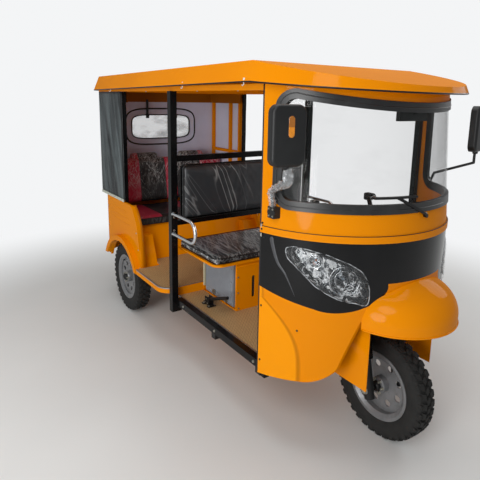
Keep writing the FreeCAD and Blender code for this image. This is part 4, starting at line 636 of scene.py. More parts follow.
trim_mesh, strip_screws = bmesh.new(), []
corner_turns = [radians(270 + 9 * step) for step in range(11)]
for side in (-1, 1):
    strip_along(trim_mesh, [(-0.120, side * 0.4978), (0.834, side * 0.4978)], 0.012, 0.3793, 0.3862, -side)
    corner = [(-0.230 + 0.1005 * cos(turn), side * (0.508 - 0.1005 * sin(turn))) for turn in corner_turns]
    route = [(-0.585, side * 0.6085)] + corner + [(-0.1295, 0)]
    strip_along(trim_mesh, route, 0.0125, 0.4345, 0.4412, -side)
    strip_screws += [((x, side * 0.4918, 0.3858), (0, 0, 1)) for x in (-0.08, 0.10, 0.28, 0.46, 0.64, 0.80)]
    strip_screws += [((x, side * 0.6022, 0.4408), (0, 0, 1)) for x in (-0.54, -0.42, -0.30)]
mesh_piece("floor_edge_strips", trim_mesh, aluminium, smooth=False)
bolts("floor_strip_screws", strip_screws, bright, 0.0034, 0.0014, 12)


# Rear body: pressed panels in amber enamel, with three pressed lines a side, a turned front flange,
# flared wheel arches edged with a bead, and screws along the joints.
panel_mesh = bmesh.new()


def pressed_line(made, start, end, out):
    """A shallow bead pressed out of a flat panel, tapered to nothing at both ends."""
    start, end, out = Vector(start), Vector(end), Vector(out)
    up = (end - start).cross(out).normalized()
    wide, high, steps, rows = 0.007, 0.0016, 14, []
    for step in range(steps + 1):
        ratio = step / steps
        grow = min(1, min(ratio, 1 - ratio) * 7) ** 0.5
        centre = start.lerp(end, ratio)
        rows.append([made.verts.new(centre + up * wide * grow * cos(angle) - out * 0.0008
                                    + out * (high + 0.0008) * max(grow, 0.05) * sin(angle))
                     for angle in [pi * k / 6 for k in range(7)]])
    for first, second in zip(rows, rows[1:]):
        for a in range(6):
            made.faces.new((first[a], second[a], second[a + 1], first[a + 1]))


BODY_Y = 0.560
for side in (-1, 1):
    for line, (z, x_end) in enumerate(((0.800, -0.800), (0.757, -0.770), (0.714, -0.750))):
        pressed_line(panel_mesh, (-1.225, side * BODY_Y, z), (x_end - 0.02, side * BODY_Y, z), (0, side, 0))
mesh_piece("side_panel_pressed_lines", panel_mesh, enamel)

FLANGE_IN, FLANGE_T, CURVE_R = 0.516, 0.0035, 0.300
flange_mesh, curve_centre = bmesh.new(), Vector((-0.9493, 0.619))
first_angle, last_angle = (atan2(z - curve_centre.y, x - curve_centre.x)
                           for x, z in ((-0.782, 0.868), (-0.650, 0.640)))
edge_route = [(-0.782, 0.868)]
for step in range(1, 13):
    angle = first_angle * (1 - step / 12) + last_angle * step / 12
    edge_route.append((curve_centre.x + CURVE_R * cos(angle), curve_centre.y + CURVE_R * sin(angle)))
edge_route += [(-0.590, 0.3665)]
for side in (-1, 1):
    rows = []
    for (x, z), way in zip(edge_route, ways(edge_route)):
        out = Vector((-way.y, way.x)) * -FLANGE_T
        rows.append([flange_mesh.verts.new((x + shift * out.x, side * y, z + shift * out.y)) for y, shift in
                     ((BODY_Y + 0.0004, 0.02), (BODY_Y + 0.0004, 0.7), (BODY_Y - 0.002, 1.0), (FLANGE_IN, 1.0),
                      (FLANGE_IN, 0.02))])
    skin(flange_mesh, rows, ends=True)
mesh_piece("side_panel_flanges", flange_mesh, enamel)


def add_tube(made, points, radius, sides, closed=False):
    """A round bar or bead along a route, with mitred bends; radius may be one number or one a point."""
    radii = radius if hasattr(radius, "__len__") else [radius] * len(points)
    rings, side = [], None
    for point, way, thick in zip(points, ways(points, closed), radii):
        side = way.orthogonal().normalized() if side is None else side
        side = (side - way * side.dot(way)).normalized()
        up = way.cross(side)
        rings.append([made.verts.new(spot) for spot in ring(Vector(point), side, up, thick, sides)])
    skin(made, rings + [rings[0]] if closed else rings, ends=not closed)


ARCH = Vector((-0.948, 0, 0.232))
bead_mesh = bmesh.new()
for side in (-1, 1):
    start_angle = asin((0.392 - 0.232) / 0.364)
    route = []
    for step in range(41):
        angle = start_angle + (pi - 2 * start_angle) * step / 40
        route.append((ARCH.x + 0.3615 * cos(angle), side * 0.5965, ARCH.z + 0.3615 * sin(angle)))
    add_tube(bead_mesh, route, 0.0036, 8)
mesh_piece("wheel_arch_beads", bead_mesh, enamel)
coat_node(enamel, "side_panels", "back_panel", "bench_box", "rear_floor", "front_floor", "side_frames")

body_screws = [((x, side * 0.5600, z), (0, side, 0)) for side in (-1, 1) for x, z in (
    (-1.270, 0.46), (-1.270, 0.62), (-1.270, 0.78), (-0.648, 0.56), (-0.624, 0.43), (-0.680, 0.68))]
body_screws += [((-1.4300, y, z), (-1, 0, 0)) for y in (-0.35, -0.1, 0.1, 0.35) for z in (0.415, 0.845)]
bolts("rear_body_screws", body_screws, bright, 0.0046, 0.0038)


# Tail lamps: a black tray with a ribbed lens in three bands, amber, red and clear.
lens_plastic = Finish("tail_lamp_lens", "A01208", Roughness=0.12, Coat_Weight=0.6, Coat_Roughness=0.04)
height = lens_plastic.axis("Z")
bands = lens_plastic.mix(height > 0.722, "B01A10", "E07A12")
bands = lens_plastic.mix(height < 0.655, bands, "D8D4CC")
flutes = (lens_plastic.axis("Y") * 900).sine()
lens_plastic.wear(Base_Color=bands)
lens_plastic.relief(flutes, 0.0008, 0.8)
tray_plastic = painted_black("black_moulding", 0.5, 40)
tray_low, tray_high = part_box("tail_lamps")
tray_mesh, tail_mesh = bmesh.new(), bmesh.new()
for side in (-1, 1):
    near, far = side * 0.3755, side * 0.4345
    add_box(tray_mesh, (tray_low.x + 0.010, near, tray_low.z), (tray_high.x, far, tray_high.z), 0.004)
    near, far = near + side * 0.004, far - side * 0.004
    add_box(tail_mesh, (tray_low.x, near, tray_low.z + 0.004), (tray_low.x + 0.012, far, tray_high.z - 0.004),
            0.005)
    for z in (0.655, 0.722):
        add_box(tray_mesh, (tray_low.x - 0.0004, near, z - 0.0012), (tray_low.x + 0.01, far, z + 0.0012))
mesh_piece("tail_lamp_trays", tray_mesh, tray_plastic, smooth=False)
tails = mesh_piece("tail_lamp_lenses", tail_mesh, lens_plastic, smooth=False)
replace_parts(tails, "tail_lamps")
coat_node(painted_black("bumper_black_paint", 0.3), "rear_bumper")


# Bench seat and back: foam pads under crimson and black vinyl, crimson at the ends and middle and
# black between, still wrapped in thin clear film that has creased. The pads swell by simulation.
def film_vinyl(name, base_wire=None, base="101012", facing="X", slants=(24, -31, 8), scale=62, thin=24, share=0.5,
               amount=0.85, long=0.09, detail=1, keep=None, ends=None, bunched=None):
    """Soft vinyl seen through clear film: straight pale creases cross at a few slants, in patches; their pale
    colour is painted highlight on the film, with some whitening of the film itself. keep() weights them all and
    ends() the last slant; where bunched() says so, the film has gathered into crumples painted silvery as
    highlights."""
    finish = Finish(name, base, Roughness=0.42, Specular_IOR_Level=0.35, Coat_Weight=0.35, Coat_Roughness=0.1)
    under = base_wire(finish) if base_wire else base
    stretch = (1, 1, long) if facing == "X" else (long, 1, 1)
    lines = 0
    for number, slant in enumerate(slants):
        turned = finish.node("ShaderNodeVectorRotate", {"rotation_type": facing + "_AXIS"}, finish.place(),
                             Angle=radians(slant))
        drawn = finish.node("ShaderNodeVectorMath", {"operation": "MULTIPLY"}, turned, stretch)
        drawn = finish.node("ShaderNodeVectorMath", {"operation": "ADD"}, drawn,
                            (number * 1.7, number * 0.9, number * 2.3))
        run = finish.node("ShaderNodeTexNoise", {}, Vector=drawn, Scale=scale * (1 + 0.3 * number),
                          Detail=detail, Roughness=0.5)
        patch = finish.node("ShaderNodeTexNoise", {}, Vector=drawn, Scale=scale * 0.2, Detail=2)
        drawn = (1 - (run - 0.5).size() * thin).limited() * ((patch - (1 - share) * 0.9) * 9).limited()
        lines = lines + (drawn * ends(finish) if ends and number == len(slants) - 1 else drawn)
    lines = lines.limited() * (keep(finish) if keep else 1)
    seen = lines * amount
    if bunched:
        crumples_and_glints = ((finish.cloud(34, 3, 0.6, bend=0.9) - 0.52) * 12).limited() * bunched(finish).limited()
        lines, seen = (lines + crumples_and_glints).limited(), seen + crumples_and_glints * 0.95
    broad = finish.cloud(9, 2)
    # The pale crease and crumple colour is painted highlight of the film, partly whitened film.
    finish.wear(Base_Color=finish.mix((seen + (broad - 0.5).limited() * 0.15).limited(), under, "C9CBCB"),
                Roughness=0.38 + finish.cloud(700, 2) * 0.2)
    finish.relief(lines * 0.6 + broad, 0.004, 0.7)
    return finish


def seat_zones(finish, crimson="8E1730"):
    """Crimson where a pad's stripe runs, black between; the stripes are even along Y."""
    across = finish.axis("Y").size()
    red = (across > 0.290) + (across < 0.052)
    return finish.mix(red.limited(), "121213", crimson)


def add_modifier(item, kind, **settings):
    change = item.modifiers.new(kind.lower(), kind)
    for name, value in settings.items():
        setattr(change, name, value)
    return change


def settle(item):
    """Keep what the modifiers make of a piece as its own mesh."""
    depsgraph = bpy.context.evaluated_depsgraph_get()
    made = bpy.data.meshes.new_from_object(item.evaluated_get(depsgraph))
    item.modifiers.clear()
    old, item.data = item.data, made
    bpy.data.meshes.remove(old)
    item.data.shade_smooth()
    return item


def swell(item, voxel, cap, hold):
    """Blow a closed form up as sewn cloth over foam; no point moves further than the cap, and hold()
    says how much of a move is kept."""
    add_modifier(item, "REMESH", mode="VOXEL", voxel_size=voxel)
    settle(item)
    start = [vert.co.copy() for vert in item.data.vertices]
    cloth = add_modifier(item, "CLOTH").settings
    cloth.use_pressure = True
    cloth.uniform_pressure_force = 4.0
    cloth.effector_weights.gravity = 0
    cloth.tension_stiffness = 12
    cloth.quality = 4
    scene = bpy.context.scene
    for step in range(1, 17):
        scene.frame_set(step)
    settle(item)
    scene.frame_set(1)
    for vert, old in zip(item.data.vertices, start):
        move = vert.co - old
        if move.length > cap:
            move = move.normalized() * cap
        vert.co = old + hold(old, move)


def foam_pad(name, node, forms, finish, voxel, cap, hold, relax, rule):
    """A soft pad in place of a node: rounded boxes joined, blown up and relaxed, then shaped by a rule."""
    item = mesh_piece(name, boxes(*forms), finish)
    swell(item, voxel, cap, hold)
    add_modifier(item, "SMOOTH", factor=0.5, iterations=relax)
    settle(item)
    for vert in item.data.vertices:
        vert.co = rule(vert.co.copy())
    item.data.update()
    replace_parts(item, node)


def bench_sewing(across):
    """How deep the sewn lines between the stripes pull in."""
    return sum(exp(-((abs(across) - line) / 0.007) ** 2) for line in (0.290, 0.052))


def crumple(place, scale, depth):
    """Creases of the film: ridges of two noises that cross."""
    fine = noise.noise(place * scale) * 0.6 + noise.noise(place * scale * 2.3 + Vector((7, 3, 1))) * 0.4
    return depth * (1 - abs(fine) * 2.2)


# The back's crimson is painted brighter than the seat's, though both are one vinyl: painted light on the upright
# back. keep() puts the painted crease highlights mostly on its upper part.
bench_vinyl = film_vinyl("bench_vinyl_under_film", lambda finish: seat_zones(finish, "AE1638"),
                         keep=lambda finish: 0.2 + ((finish.axis("Z") - 0.90) * 7).limited() * 0.8)
seat_vinyl = film_vinyl("bench_seat_vinyl", seat_zones, facing="Z", share=0.3, amount=0.3)
low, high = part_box("bench_cushion")


def bench_seat_rule(place):
    if place.z > low.z + 0.03:
        place.z -= 0.006 * bench_sewing(place.y) - crumple(place, 22, 0.0014)
        place.z -= 0.004 * sin((place.y / 0.53) * pi * 1.5) ** 2
    place.z = min(place.z, high.z + 0.004)
    return place


foam_pad("bench_seat_pad", "bench_cushion",
         [(low + Vector((0.007, 0.007, 0.001)), high - Vector((0.007, 0.007, 0.008)), 0.014)],
         seat_vinyl, 0.008, 0.012,
         lambda old, move: Vector((move.x * 0.5, move.y * 0.4, max(move.z, 0) if old.z > low.z + 0.02 else 0)),
         2, bench_seat_rule)

# The black front apron of the cushion, with a piped edge above and below.
front_vinyl = film_vinyl("black_vinyl", base="131314", amount=0.1)
piping = Finish("black_piping", "0C0C0C", Roughness=0.4, Coat_Weight=0.15, Specular_IOR_Level=0.3)
piping.grain(600, 2, 0.0003, 0.4)
band = ((high.x - 0.004, low.y + 0.01, low.z + 0.002), (high.x + 0.0005, high.y - 0.01, high.z - 0.014), 0.0022)
mesh_piece("bench_front_band", boxes(band), front_vinyl)
pipe_mesh = bmesh.new()
for z in (low.z + 0.004, high.z - 0.012):
    route = [(high.x - 0.002 + 0.0006 * sin(k * 1.7), low.y + 0.012 + (high.y - low.y - 0.024) * k / 60, z)
             for k in range(61)]
    add_tube(pipe_mesh, route, 0.0032, 8)
mesh_piece("bench_piping", pipe_mesh, piping)

# The back leans; its two black middles stand above the rest as head pads.
BACK_REAR, BACK_HALF, BACK_LOW, BACK_TOP, BACK_T, LEAN = -1.300, 0.532, 0.775, 1.160, 0.090, tan(radians(8))
HEAD_PAD_Y, BACK_ROUND = 0.225, 0.018
back_boxes = [((BACK_REAR + 0.004, 0.006 - BACK_HALF, BACK_LOW + 0.006),
               (BACK_REAR + BACK_T - 0.010, BACK_HALF - 0.006, BACK_TOP - 0.006), BACK_ROUND)]
back_boxes += [((BACK_REAR + 0.008, y - 0.120, BACK_TOP - 0.08),
                (BACK_REAR + BACK_T * 0.8 - 0.006, y + 0.120, BACK_TOP + 0.038), BACK_ROUND)
               for y in (-HEAD_PAD_Y, HEAD_PAD_Y)]


def bench_back_rule(place):
    if place.x > -1.245:
        place.x -= 0.010 * bench_sewing(place.y)
        place.x += crumple(place, 20, 0.0016)
        place.x += 0.006 * exp(-((abs(place.y) - HEAD_PAD_Y) / 0.1) ** 2) * exp(-((place.z - 0.99) / 0.14) ** 2)
    place.x -= (place.z - BACK_LOW) * LEAN
    return place


foam_pad("bench_back_pad", "bench_backrest", back_boxes, bench_vinyl, 0.008, 0.014,
         lambda old, move: Vector((max(move.x, 0) if old.x > -1.27 else 0, move.y * 0.3, move.z * 0.4)), 3,
         bench_back_rule)


# Rear and side curtains: charcoal coated cloth, hung in soft folds outside the tube frames, with a
# pale lilac lining inside. A pale strip screws their hems to the body.
def woven(finish):
    """The height of a plain weave in cloth that hangs upright."""
    threads = 2 * pi / 0.0011
    along, across = (finish.axis("X") + finish.axis("Y")) * threads, finish.axis("Z") * threads
    return along.sine() * 0.5 + across.sine() * 0.5


curtain_cloth = Finish("charcoal_coated_cloth", "35383A", Roughness=0.5, Specular_IOR_Level=0.35)
faded = curtain_cloth.cloud(4, 4, 0.6, (1, 1, 0.35))
slack = curtain_cloth.node("ShaderNodeVectorRotate", {"rotation_type": "Y_AXIS"}, curtain_cloth.place(),
                           Angle=radians(14))
slack = curtain_cloth.node("ShaderNodeVectorMath", {"operation": "MULTIPLY"}, slack, (1, 1, 0.13))
slack = curtain_cloth.node("ShaderNodeTexNoise", {}, Vector=slack, Scale=14, Detail=2, Roughness=0.45)
# The folds are painted: a pale painted highlight on their ridges and painted shade in the hollows between, over
# the cloth's own charcoal.
fold_sheen_and_shade = curtain_cloth.mix(((slack - 0.36) * 3.2).limited(), "202426", "626B6D")
curtain_cloth.wear(Base_Color=curtain_cloth.mix(faded * 0.4, fold_sheen_and_shade, "3C4042"), Roughness=0.44 + faded * 0.16)
curtain_cloth.relief(woven(curtain_cloth) * 0.004 + slack, 0.05, 0.9)
lining_cloth = Finish("lilac_lining", "B9AEBB", Roughness=0.85, Sheen_Weight=0.2)
soiled = lining_cloth.patches(0.4, 3, 4, 0.6)
lining_cloth.wear(Base_Color=lining_cloth.mix(soiled, "DDE1F6", "BEC2D8"))
lining_cloth.relief(woven(lining_cloth) * 0.2 + lining_cloth.cloud(14, 4, 0.5, (1, 1, 0.4)) * 2, 0.0016, 0.7)


def cloth_wall(name, finish, rows, thick, closed=False):
    """A hung sheet from rows of points, each row from top to bottom; returns it and its cut area."""
    made = bmesh.new()
    points = [[Vector(point) for point in row] for row in rows]
    count, tall = len(points), len(points[0])
    last = count if closed else count - 1
    sides = []
    for offset in (-0.5, 0.5):
        grid = []
        for number, row in enumerate(points):
            before = points[number - 1] if closed or number else row
            after = points[(number + 1) % count] if closed or number < count - 1 else row
            line = []
            for place, point in enumerate(row):
                down = row[min(place + 1, tall - 1)] - row[max(place - 1, 0)]
                way = (after[place] - before[place]).cross(down).normalized()
                line.append(made.verts.new(point + way * thick * offset))
            grid.append(line)
        sides.append(grid)
        skin(made, grid + [grid[0]] if closed else grid, around=False)
    area = sum(face.calc_area() for face in made.faces) / 2
    rims = [[(side[a][row], side[(a + 1) % count][row]) for side in sides] for row in (0, -1)
            for a in range(last)]
    if not closed:
        rims += [[(side[a][b], side[a][b + 1]) for side in sides] for a in (0, -1) for b in range(tall - 1)]
    for (a, b), (c, d) in rims:
        made.faces.new((a, b, d, c))
    return mesh_piece(name, made, finish), area


def soft_step(value):
    value = min(1.0, max(0.0, value))
    return value * value * (3 - 2 * value)


CURTAIN_Y, CURTAIN_LOW, CURTAIN_TOP = 0.548, 0.880, 1.696
curtain_low, curtain_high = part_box("side_curtains")
REAR_X, FRONT_X = curtain_low.x, curtain_high.x
FOLDS = ((0.90, 0.55, 0.030, 0.008), (0.78, 0.62, 0.034, 0.006), (0.60, 0.50, 0.045, 0.007),
         (0.46, 0.30, 0.030, 0.005), (0.34, 0.40, 0.040, 0.006), (0.16, 0.20, 0.035, 0.006),
         (0.70, 0.92, 0.022, 0.004))


def curtain_bulge(along, down):
    """Folds run from their place at the top to their place at the hem, 0 rear to 1 front."""
    swell_out = sum(high * exp(-((along - start - (end - start) * down) / wide) ** 2)
                    for start, end, wide, high in FOLDS)
    return swell_out * (0.35 + 0.65 * sin(pi * min(1, down * 0.8 + 0.1))) + 0.002 * sin(3 * pi * along)


def curtain_rows(columns, steps, start, end, place):
    """Rows of points down a side curtain; place() gives the sheet's distance out for a bulge."""
    rows = []
    for column in range(columns + 1):
        along = column / columns
        x = REAR_X + start + (FRONT_X - REAR_X - end) * along
        rows.append([(x, *place(curtain_bulge(along, down / steps), down / steps)) for down in range(steps + 1)])
    return rows


high = CURTAIN_TOP - CURTAIN_LOW
outer_rows = curtain_rows(110, 40, 0.004, 0.006, lambda bulge, part: (
    CURTAIN_Y + 0.0040 + 0.8 * max(0, bulge), CURTAIN_TOP - high * part))
inner_rows = curtain_rows(60, 24, 0.008, 0.036, lambda bulge, part: (
    CURTAIN_Y + 0.0008 + 0.15 * bulge, CURTAIN_TOP - 0.001 - (high - 0.002) * part))
for side, label in ((-1, "right"), (1, "left")):
    for name, finish, rows, thick in (("side_curtain_", curtain_cloth, outer_rows, 0.0016),
                                      ("side_lining_", lining_cloth, inner_rows, 0.0008)):
        rows = [[(x, y * side, z) for x, y, z in row] for row in rows]
        sheet, area = cloth_wall(name + label, finish, rows, thick)
        area / high
        if finish is curtain_cloth:
            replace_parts(sheet, "side_curtains")


def window_loop(half, low_z, high_z, corner, steps=120):
    """A rounded rectangle in the rear wall as (y, z) points at even steps of angle."""
    points, middle, tall, power = [], (low_z + high_z) / 2, (high_z - low_z) / 2, 2 / corner
    for angle in full_turn(steps):
        c, s = cos(angle), sin(angle)
        points.append((half * copysign(abs(c) ** power, c), middle + tall * copysign(abs(s) ** power, s)))
    return points


def wall_edge(half, low_z, high_z, inner):
    """Where the ray through each window point meets the edge of the wall."""
    points, middle = [], 1.405
    for y, z in inner:
        scale = min((half / abs(y)) if abs(y) > 1e-6 else 1e9,
                    ((high_z - middle) if z > middle else (middle - low_z)) / max(abs(z - middle), 1e-6))
        points.append((y * scale, middle + (z - middle) * scale))
    return points


window_edge = window_loop(0.275, 1.305, 1.505, 5.0, 160)
outer_edge = wall_edge(0.5470, CURTAIN_LOW + 0.001, CURTAIN_TOP - 0.001, window_edge)


def rear_rows(x_at):
    """Rows of points from the window's edge out to the wall's edge."""
    rows = []
    for (y0, z0), (y1, z1) in zip(window_edge, outer_edge):
        row = []
        for part in [(step / 16) ** 1.2 for step in range(17)]:
            y, z = y0 + (y1 - y0) * part, z0 + (z1 - z0) * part
            row.append((x_at(hang(y, z, part)), y, z))
        rows.append(row)
    return rows


def hang(y, z, part):
    """Shallow upright folds that die out towards the window and the edges."""
    fade = sin(pi * min(1, max(0, part))) if part < 1 else 0
    return fade * (0.003 * sin(y * 31 + 0.6) + 0.002 * sin(y * 53 + z * 4) + 0.0015 * sin(z * 17 + y * 9))


for name, finish, x_at, thick in (
        ("rear_curtain_cloth", curtain_cloth, lambda fold: REAR_X + 0.0010 - max(0, fold) * 1.2, 0.0016),
        ("rear_lining", lining_cloth, lambda fold: REAR_X + 0.0054 + max(0, -fold) * 0.7, 0.0008)):
    sheet, area = cloth_wall(name, finish, rear_rows(x_at), thick, closed=True)
    if finish is curtain_cloth:
        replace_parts(sheet, "rear_curtain")

# Rear window: clear soft sheet sewn in behind double black piping, with a rolled-flap strap.
clear_film = Finish("clear_window_sheet", "AEB6BA", Roughness=0.12, Alpha=0.2, Specular_IOR_Level=0.7)
clear_film.wear(Alpha=0.22 + clear_film.patches(0.45, 5, 3, 0.5, (1, 1, 2)) * 1.3)
clear_film.grain(6, 2, 0.004, 0.4)
coat_node(clear_film, "rear_window")
window_trim = bmesh.new()
for half, low_z, high_z, corner, thick in ((0.278, 1.302, 1.508, 5.0, 0.0050),
                                           (0.332, 1.250, 1.562, 4.2, 0.0066)):
    for x in (REAR_X + 0.0074, REAR_X - 0.0012):
        add_tube(window_trim, [(x + 0.0006 * sin(n * 0.7), y, z) for n, (y, z) in
                               enumerate(window_loop(half, low_z, high_z, corner))], thick, 8, closed=True)
mesh_piece("rear_window_piping", window_trim, piping)
strap_mesh = bmesh.new()
for y in (-0.135, 0.135):
    add_box(strap_mesh, (REAR_X + 0.0120, y - 0.011, 1.492), (REAR_X + 0.0146, y + 0.011, 1.640), 0.001)
    add_box(strap_mesh, (REAR_X + 0.0120, y - 0.016, 1.480), (REAR_X + 0.0190, y + 0.016, 1.512), 0.003)
mesh_piece("window_straps", strap_mesh, piping, smooth=False)

# Header boards: amber boards that close the gap from the roof down to the lining, behind and beside
# the bench. Their amber is painted darker than the enamel, as the shade under the roof.
header_shade_paint = Finish("dull_amber", "94560A", Roughness=0.6, Specular_IOR_Level=0.1)
header_shade_paint.grain(300, 3, 0.0003, 0.4)
header_mesh = bmesh.new()
add_box(header_mesh, (REAR_X + 0.0085, -0.505, 1.618), (REAR_X + 0.0125, 0.505, 1.700), 0.0012)
for side in (-1, 1):
    add_box(header_mesh, (REAR_X + 0.0085, side * 0.503, 1.618), (FRONT_X - 0.020, side * 0.507, 1.700), 0.0012)
mesh_piece("header_boards", header_mesh, header_shade_paint, smooth=False)

# Hem strips: pale anodised channel, screwed along the foot of each curtain, and the black binding
# down its front edge.
pale_strip = Finish("pale_hem_strip", "C9CDBF", Roughness=0.45)
streaks = pale_strip.cloud(40, 3, 0.5, (0.2, 3, 3))
pale_strip.worn(streaks, "D4D8CB", "ABB0A2", 0.35 + streaks * 0.2)
strip_mesh, binding_mesh, hem_bolts = bmesh.new(), bmesh.new(), []
for side in (-1, 1):
    add_box(strip_mesh, (REAR_X + 0.030, side * 0.5547, 0.8700), (FRONT_X - 0.010, side * 0.5655, 0.8900), 0.0022)
    hem_bolts += [((x, side * 0.5655, 0.880), (0, side, 0)) for x in (-1.38, -1.24, -1.10, -0.96)]
    route = [(FRONT_X - 0.008, side * (0.5525 + 0.0008 * sin(step)), CURTAIN_TOP - 0.004 - step * 0.0405)
             for step in range(21)]
    for shift in (0, -0.007, -0.014):
        add_tube(binding_mesh, [(x + shift, y, z) for x, y, z in route], 0.0048, 8)
add_box(strip_mesh, (REAR_X - 0.0105, -0.520, 0.8700), (REAR_X - 0.0010, 0.520, 0.8900), 0.0022)
mesh_piece("curtain_hem_strips", strip_mesh, pale_strip, smooth=False)
mesh_piece("curtain_front_bindings", binding_mesh, piping)
bolts("curtain_hem_screws", hem_bolts, bright, 0.0036, 0.0024, 10)


# Posts, sills and cross rails: square steel tube under gloss black enamel, welded at the joints.
post_paint = painted_black("gloss_black_enamel", 0.2, 9)
post_paint.wear(Coat_Weight=0.08, Coat_Roughness=0.15, Specular_IOR_Level=0.12)
coat_node(post_paint, "cabin_posts", "sills", "backrest_frame")
weld_mesh = bmesh.new()


def weld(made, start, end, radius=0.003):
    """A stack of overlapping beads along a joint."""
    start, end = Vector(start), Vector(end)
    count = max(3, int((end - start).length / 0.0045))
    for number in range(count + 1):
        spot = start.lerp(end, number / count)
        bmesh.ops.create_icosphere(made, subdivisions=1, radius=radius, matrix=Matrix.Translation(spot)
                                   @ Matrix.Diagonal((1, 1, 0.8, 1)))


for side in (-1, 1):
    for z in (0.3505, 0.3895):
        weld(weld_mesh, (-0.079, side * 0.502, z), (-0.079, side * 0.538, z))
    for z in (0.8725, 1.2745):
        weld(weld_mesh, (-0.121, side * 0.524, z), (-0.089, side * 0.524, z), 0.0026)
mesh_piece("post_welds", weld_mesh, post_paint, smooth=False)
bolts("sill_bolts", [((x, side * 0.5400, 0.370), (0, side, 0)) for side in (-1, 1) for x in (0.02, 0.40, 0.78)],
      bright, 0.006, 0.005)


# Roof: a moulded shell in amber enamel with a ribbed underside, a black rubber edge along its
# rim, and small white hooks for the side sheets. Tube rails and bows carry it.
coat_node(enamel, "roof", "roof_frame")
ROOF_HALF, ROOF_REAR, ROOF_CX, ROOF_R, TAPER = 0.612, -1.472, 0.740, 0.070, tan(radians(22))


def rim_height(x):
    """The rim rises gently to its peak over the glass, then falls to the nose."""
    return 1.709 + 0.026 * (x + 1.5) / 2.26 if x < 0.76 else 1.735 - 0.053 * (x - 0.76) / 0.74


def roof_plan(inset):
    """The rim's plan from the middle of the nose round the right side to the middle of the rear."""
    half, points = ROOF_HALF - inset, []
    for angle in [pi / 2 * step / 64 for step in range(65)]:
        points.append((ROOF_CX + half * cos(angle), -half * sin(angle)))
    points += [(ROOF_CX + (ROOF_REAR + ROOF_R - ROOF_CX) * step / 30, -half) for step in range(1, 30)]
    for angle in [pi / 2 * step / 12 for step in range(13)]:
        points.append((ROOF_REAR + ROOF_R - (ROOF_R - inset) * sin(angle),
                       -half + (ROOF_R - inset) * (1 - cos(angle))))
    points.append((ROOF_REAR + inset, 0))
    return points


rim_mesh = bmesh.new()
half_rim = [(x, y, rim_height(x)) for x, y in roof_plan(0.0035)]
lean_in = [(z - 1.680) * TAPER for x, y, z in half_rim]


def pulled_in(x, y, z, amount):
    """Move a rim point inwards as the taper does at its height."""
    if x > ROOF_CX:
        span = hypot(x - ROOF_CX, y)
        return (ROOF_CX + (x - ROOF_CX) * (span - amount) / span, y * (span - amount) / span, z)
    return (max(x, ROOF_REAR + amount), copysign(max(abs(y) - amount, 0), y), z)


right_rim = [pulled_in(x, y, z - 0.0010, amount) for (x, y, z), amount in zip(half_rim, lean_in)]
whole_rim = right_rim + [(x, -y, z) for x, y, z in right_rim[-2:0:-1]]
add_tube(rim_mesh, whole_rim, 0.0042, 8, closed=True)
mesh_piece("roof_edge_rubber", rim_mesh, piping)
hook_mesh = bmesh.new()
for side in (-1, 1):
    for x in (-1.05, 0.12, 0.72):
        y, z = side * (ROOF_HALF - 0.024), rim_height(x)
        add_box(hook_mesh, (x - 0.006, y, z - 0.004), (x + 0.006, y - side * 0.006, z + 0.016), 0.0015)
        add_tube(hook_mesh, [(x, y + side * out, z - down) for out, down in
                             ((0, 0.002), (-0.001, 0.012), (0.004, 0.019), (0.010, 0.016))], 0.0022, 8)
hook_white = Finish("white_hook_plastic", "E6E6E0", Roughness=0.35)
hook_white.grain(300, 2, 0.0002, 0.3)
mesh_piece("sheet_hooks", hook_mesh, hook_white, smooth=False)
bolts("roof_frame_screws", [((x, side * 0.538, 1.6960), (0, 0, -1)) for side in (-1, 1)
                            for x in (-1.30, -1.00, -0.50, 0.20, 0.60)], bright, 0.0042, 0.0034)


# Front shell: a moulded half-round nose. Amber enamel below and above, a gloss black band between
# with a moulded crescent, a raised waist bead with a black sealing line, and a rubber-edged rear.
SHELL_X, SHELL_R = 0.740, 0.565


def on_shell(x, z, out, side):
    """A point on the upright part of the shell, a distance outside its skin."""
    angle = acos(max(-1.0, min(1.0, (x - SHELL_X) / SHELL_R)))
    radius = SHELL_R + out
    return Vector((SHELL_X + radius * cos(angle), side * radius * sin(angle), z))


def shell_arc(z, out):
    """A level arc round the nose from the right rear edge to the left."""
    limit = acos((0.838 - SHELL_X) / SHELL_R)
    angles = [limit * (2 * n / 60 - 1) for n in range(61)]
    return [(SHELL_X + (SHELL_R + out) * cos(angle), (SHELL_R + out) * sin(angle), z) for angle in angles]


def smooth_route(points, steps, closed=False):
    """A Catmull-Rom line through the points."""
    points = [Vector(point) for point in points]
    count, route = len(points), []
    for n in range(count if closed else count - 1):
        p0 = points[(n - 1) % count] if closed or n else points[0]
        p1, p2 = points[n], points[(n + 1) % count]
        p3 = points[(n + 2) % count] if closed or n < count - 2 else points[-1]
        for step in range(steps):
            t = step / steps
            route.append(0.5 * ((2 * p1) + (p2 - p0) * t + (2 * p0 - 5 * p1 + 4 * p2 - p3) * t * t
                                + (3 * p1 - p0 - 3 * p2 + p3) * t ** 3))
    if not closed:
        route.append(points[-1])
    return route


apron_enamel = Finish("amber_apron_enamel", "E88A02", Roughness=0.26, Coat_Weight=0.2, Coat_Roughness=0.08,
                      Specular_IOR_Level=0.0)
rise_part = ((apron_enamel.axis("Z") - 0.394) / 0.349).limited()
crease_x = 1.043 - (rise_part ** 3.1) * 0.185
past = ((apron_enamel.axis("X") - crease_x) * 40 + 0.5).limited()
step_up = past.eased()
splash = apron_enamel.patches(0.5, 11, 5, 0.65) * ((0.66 - apron_enamel.axis("Z")) * 2.4).limited()
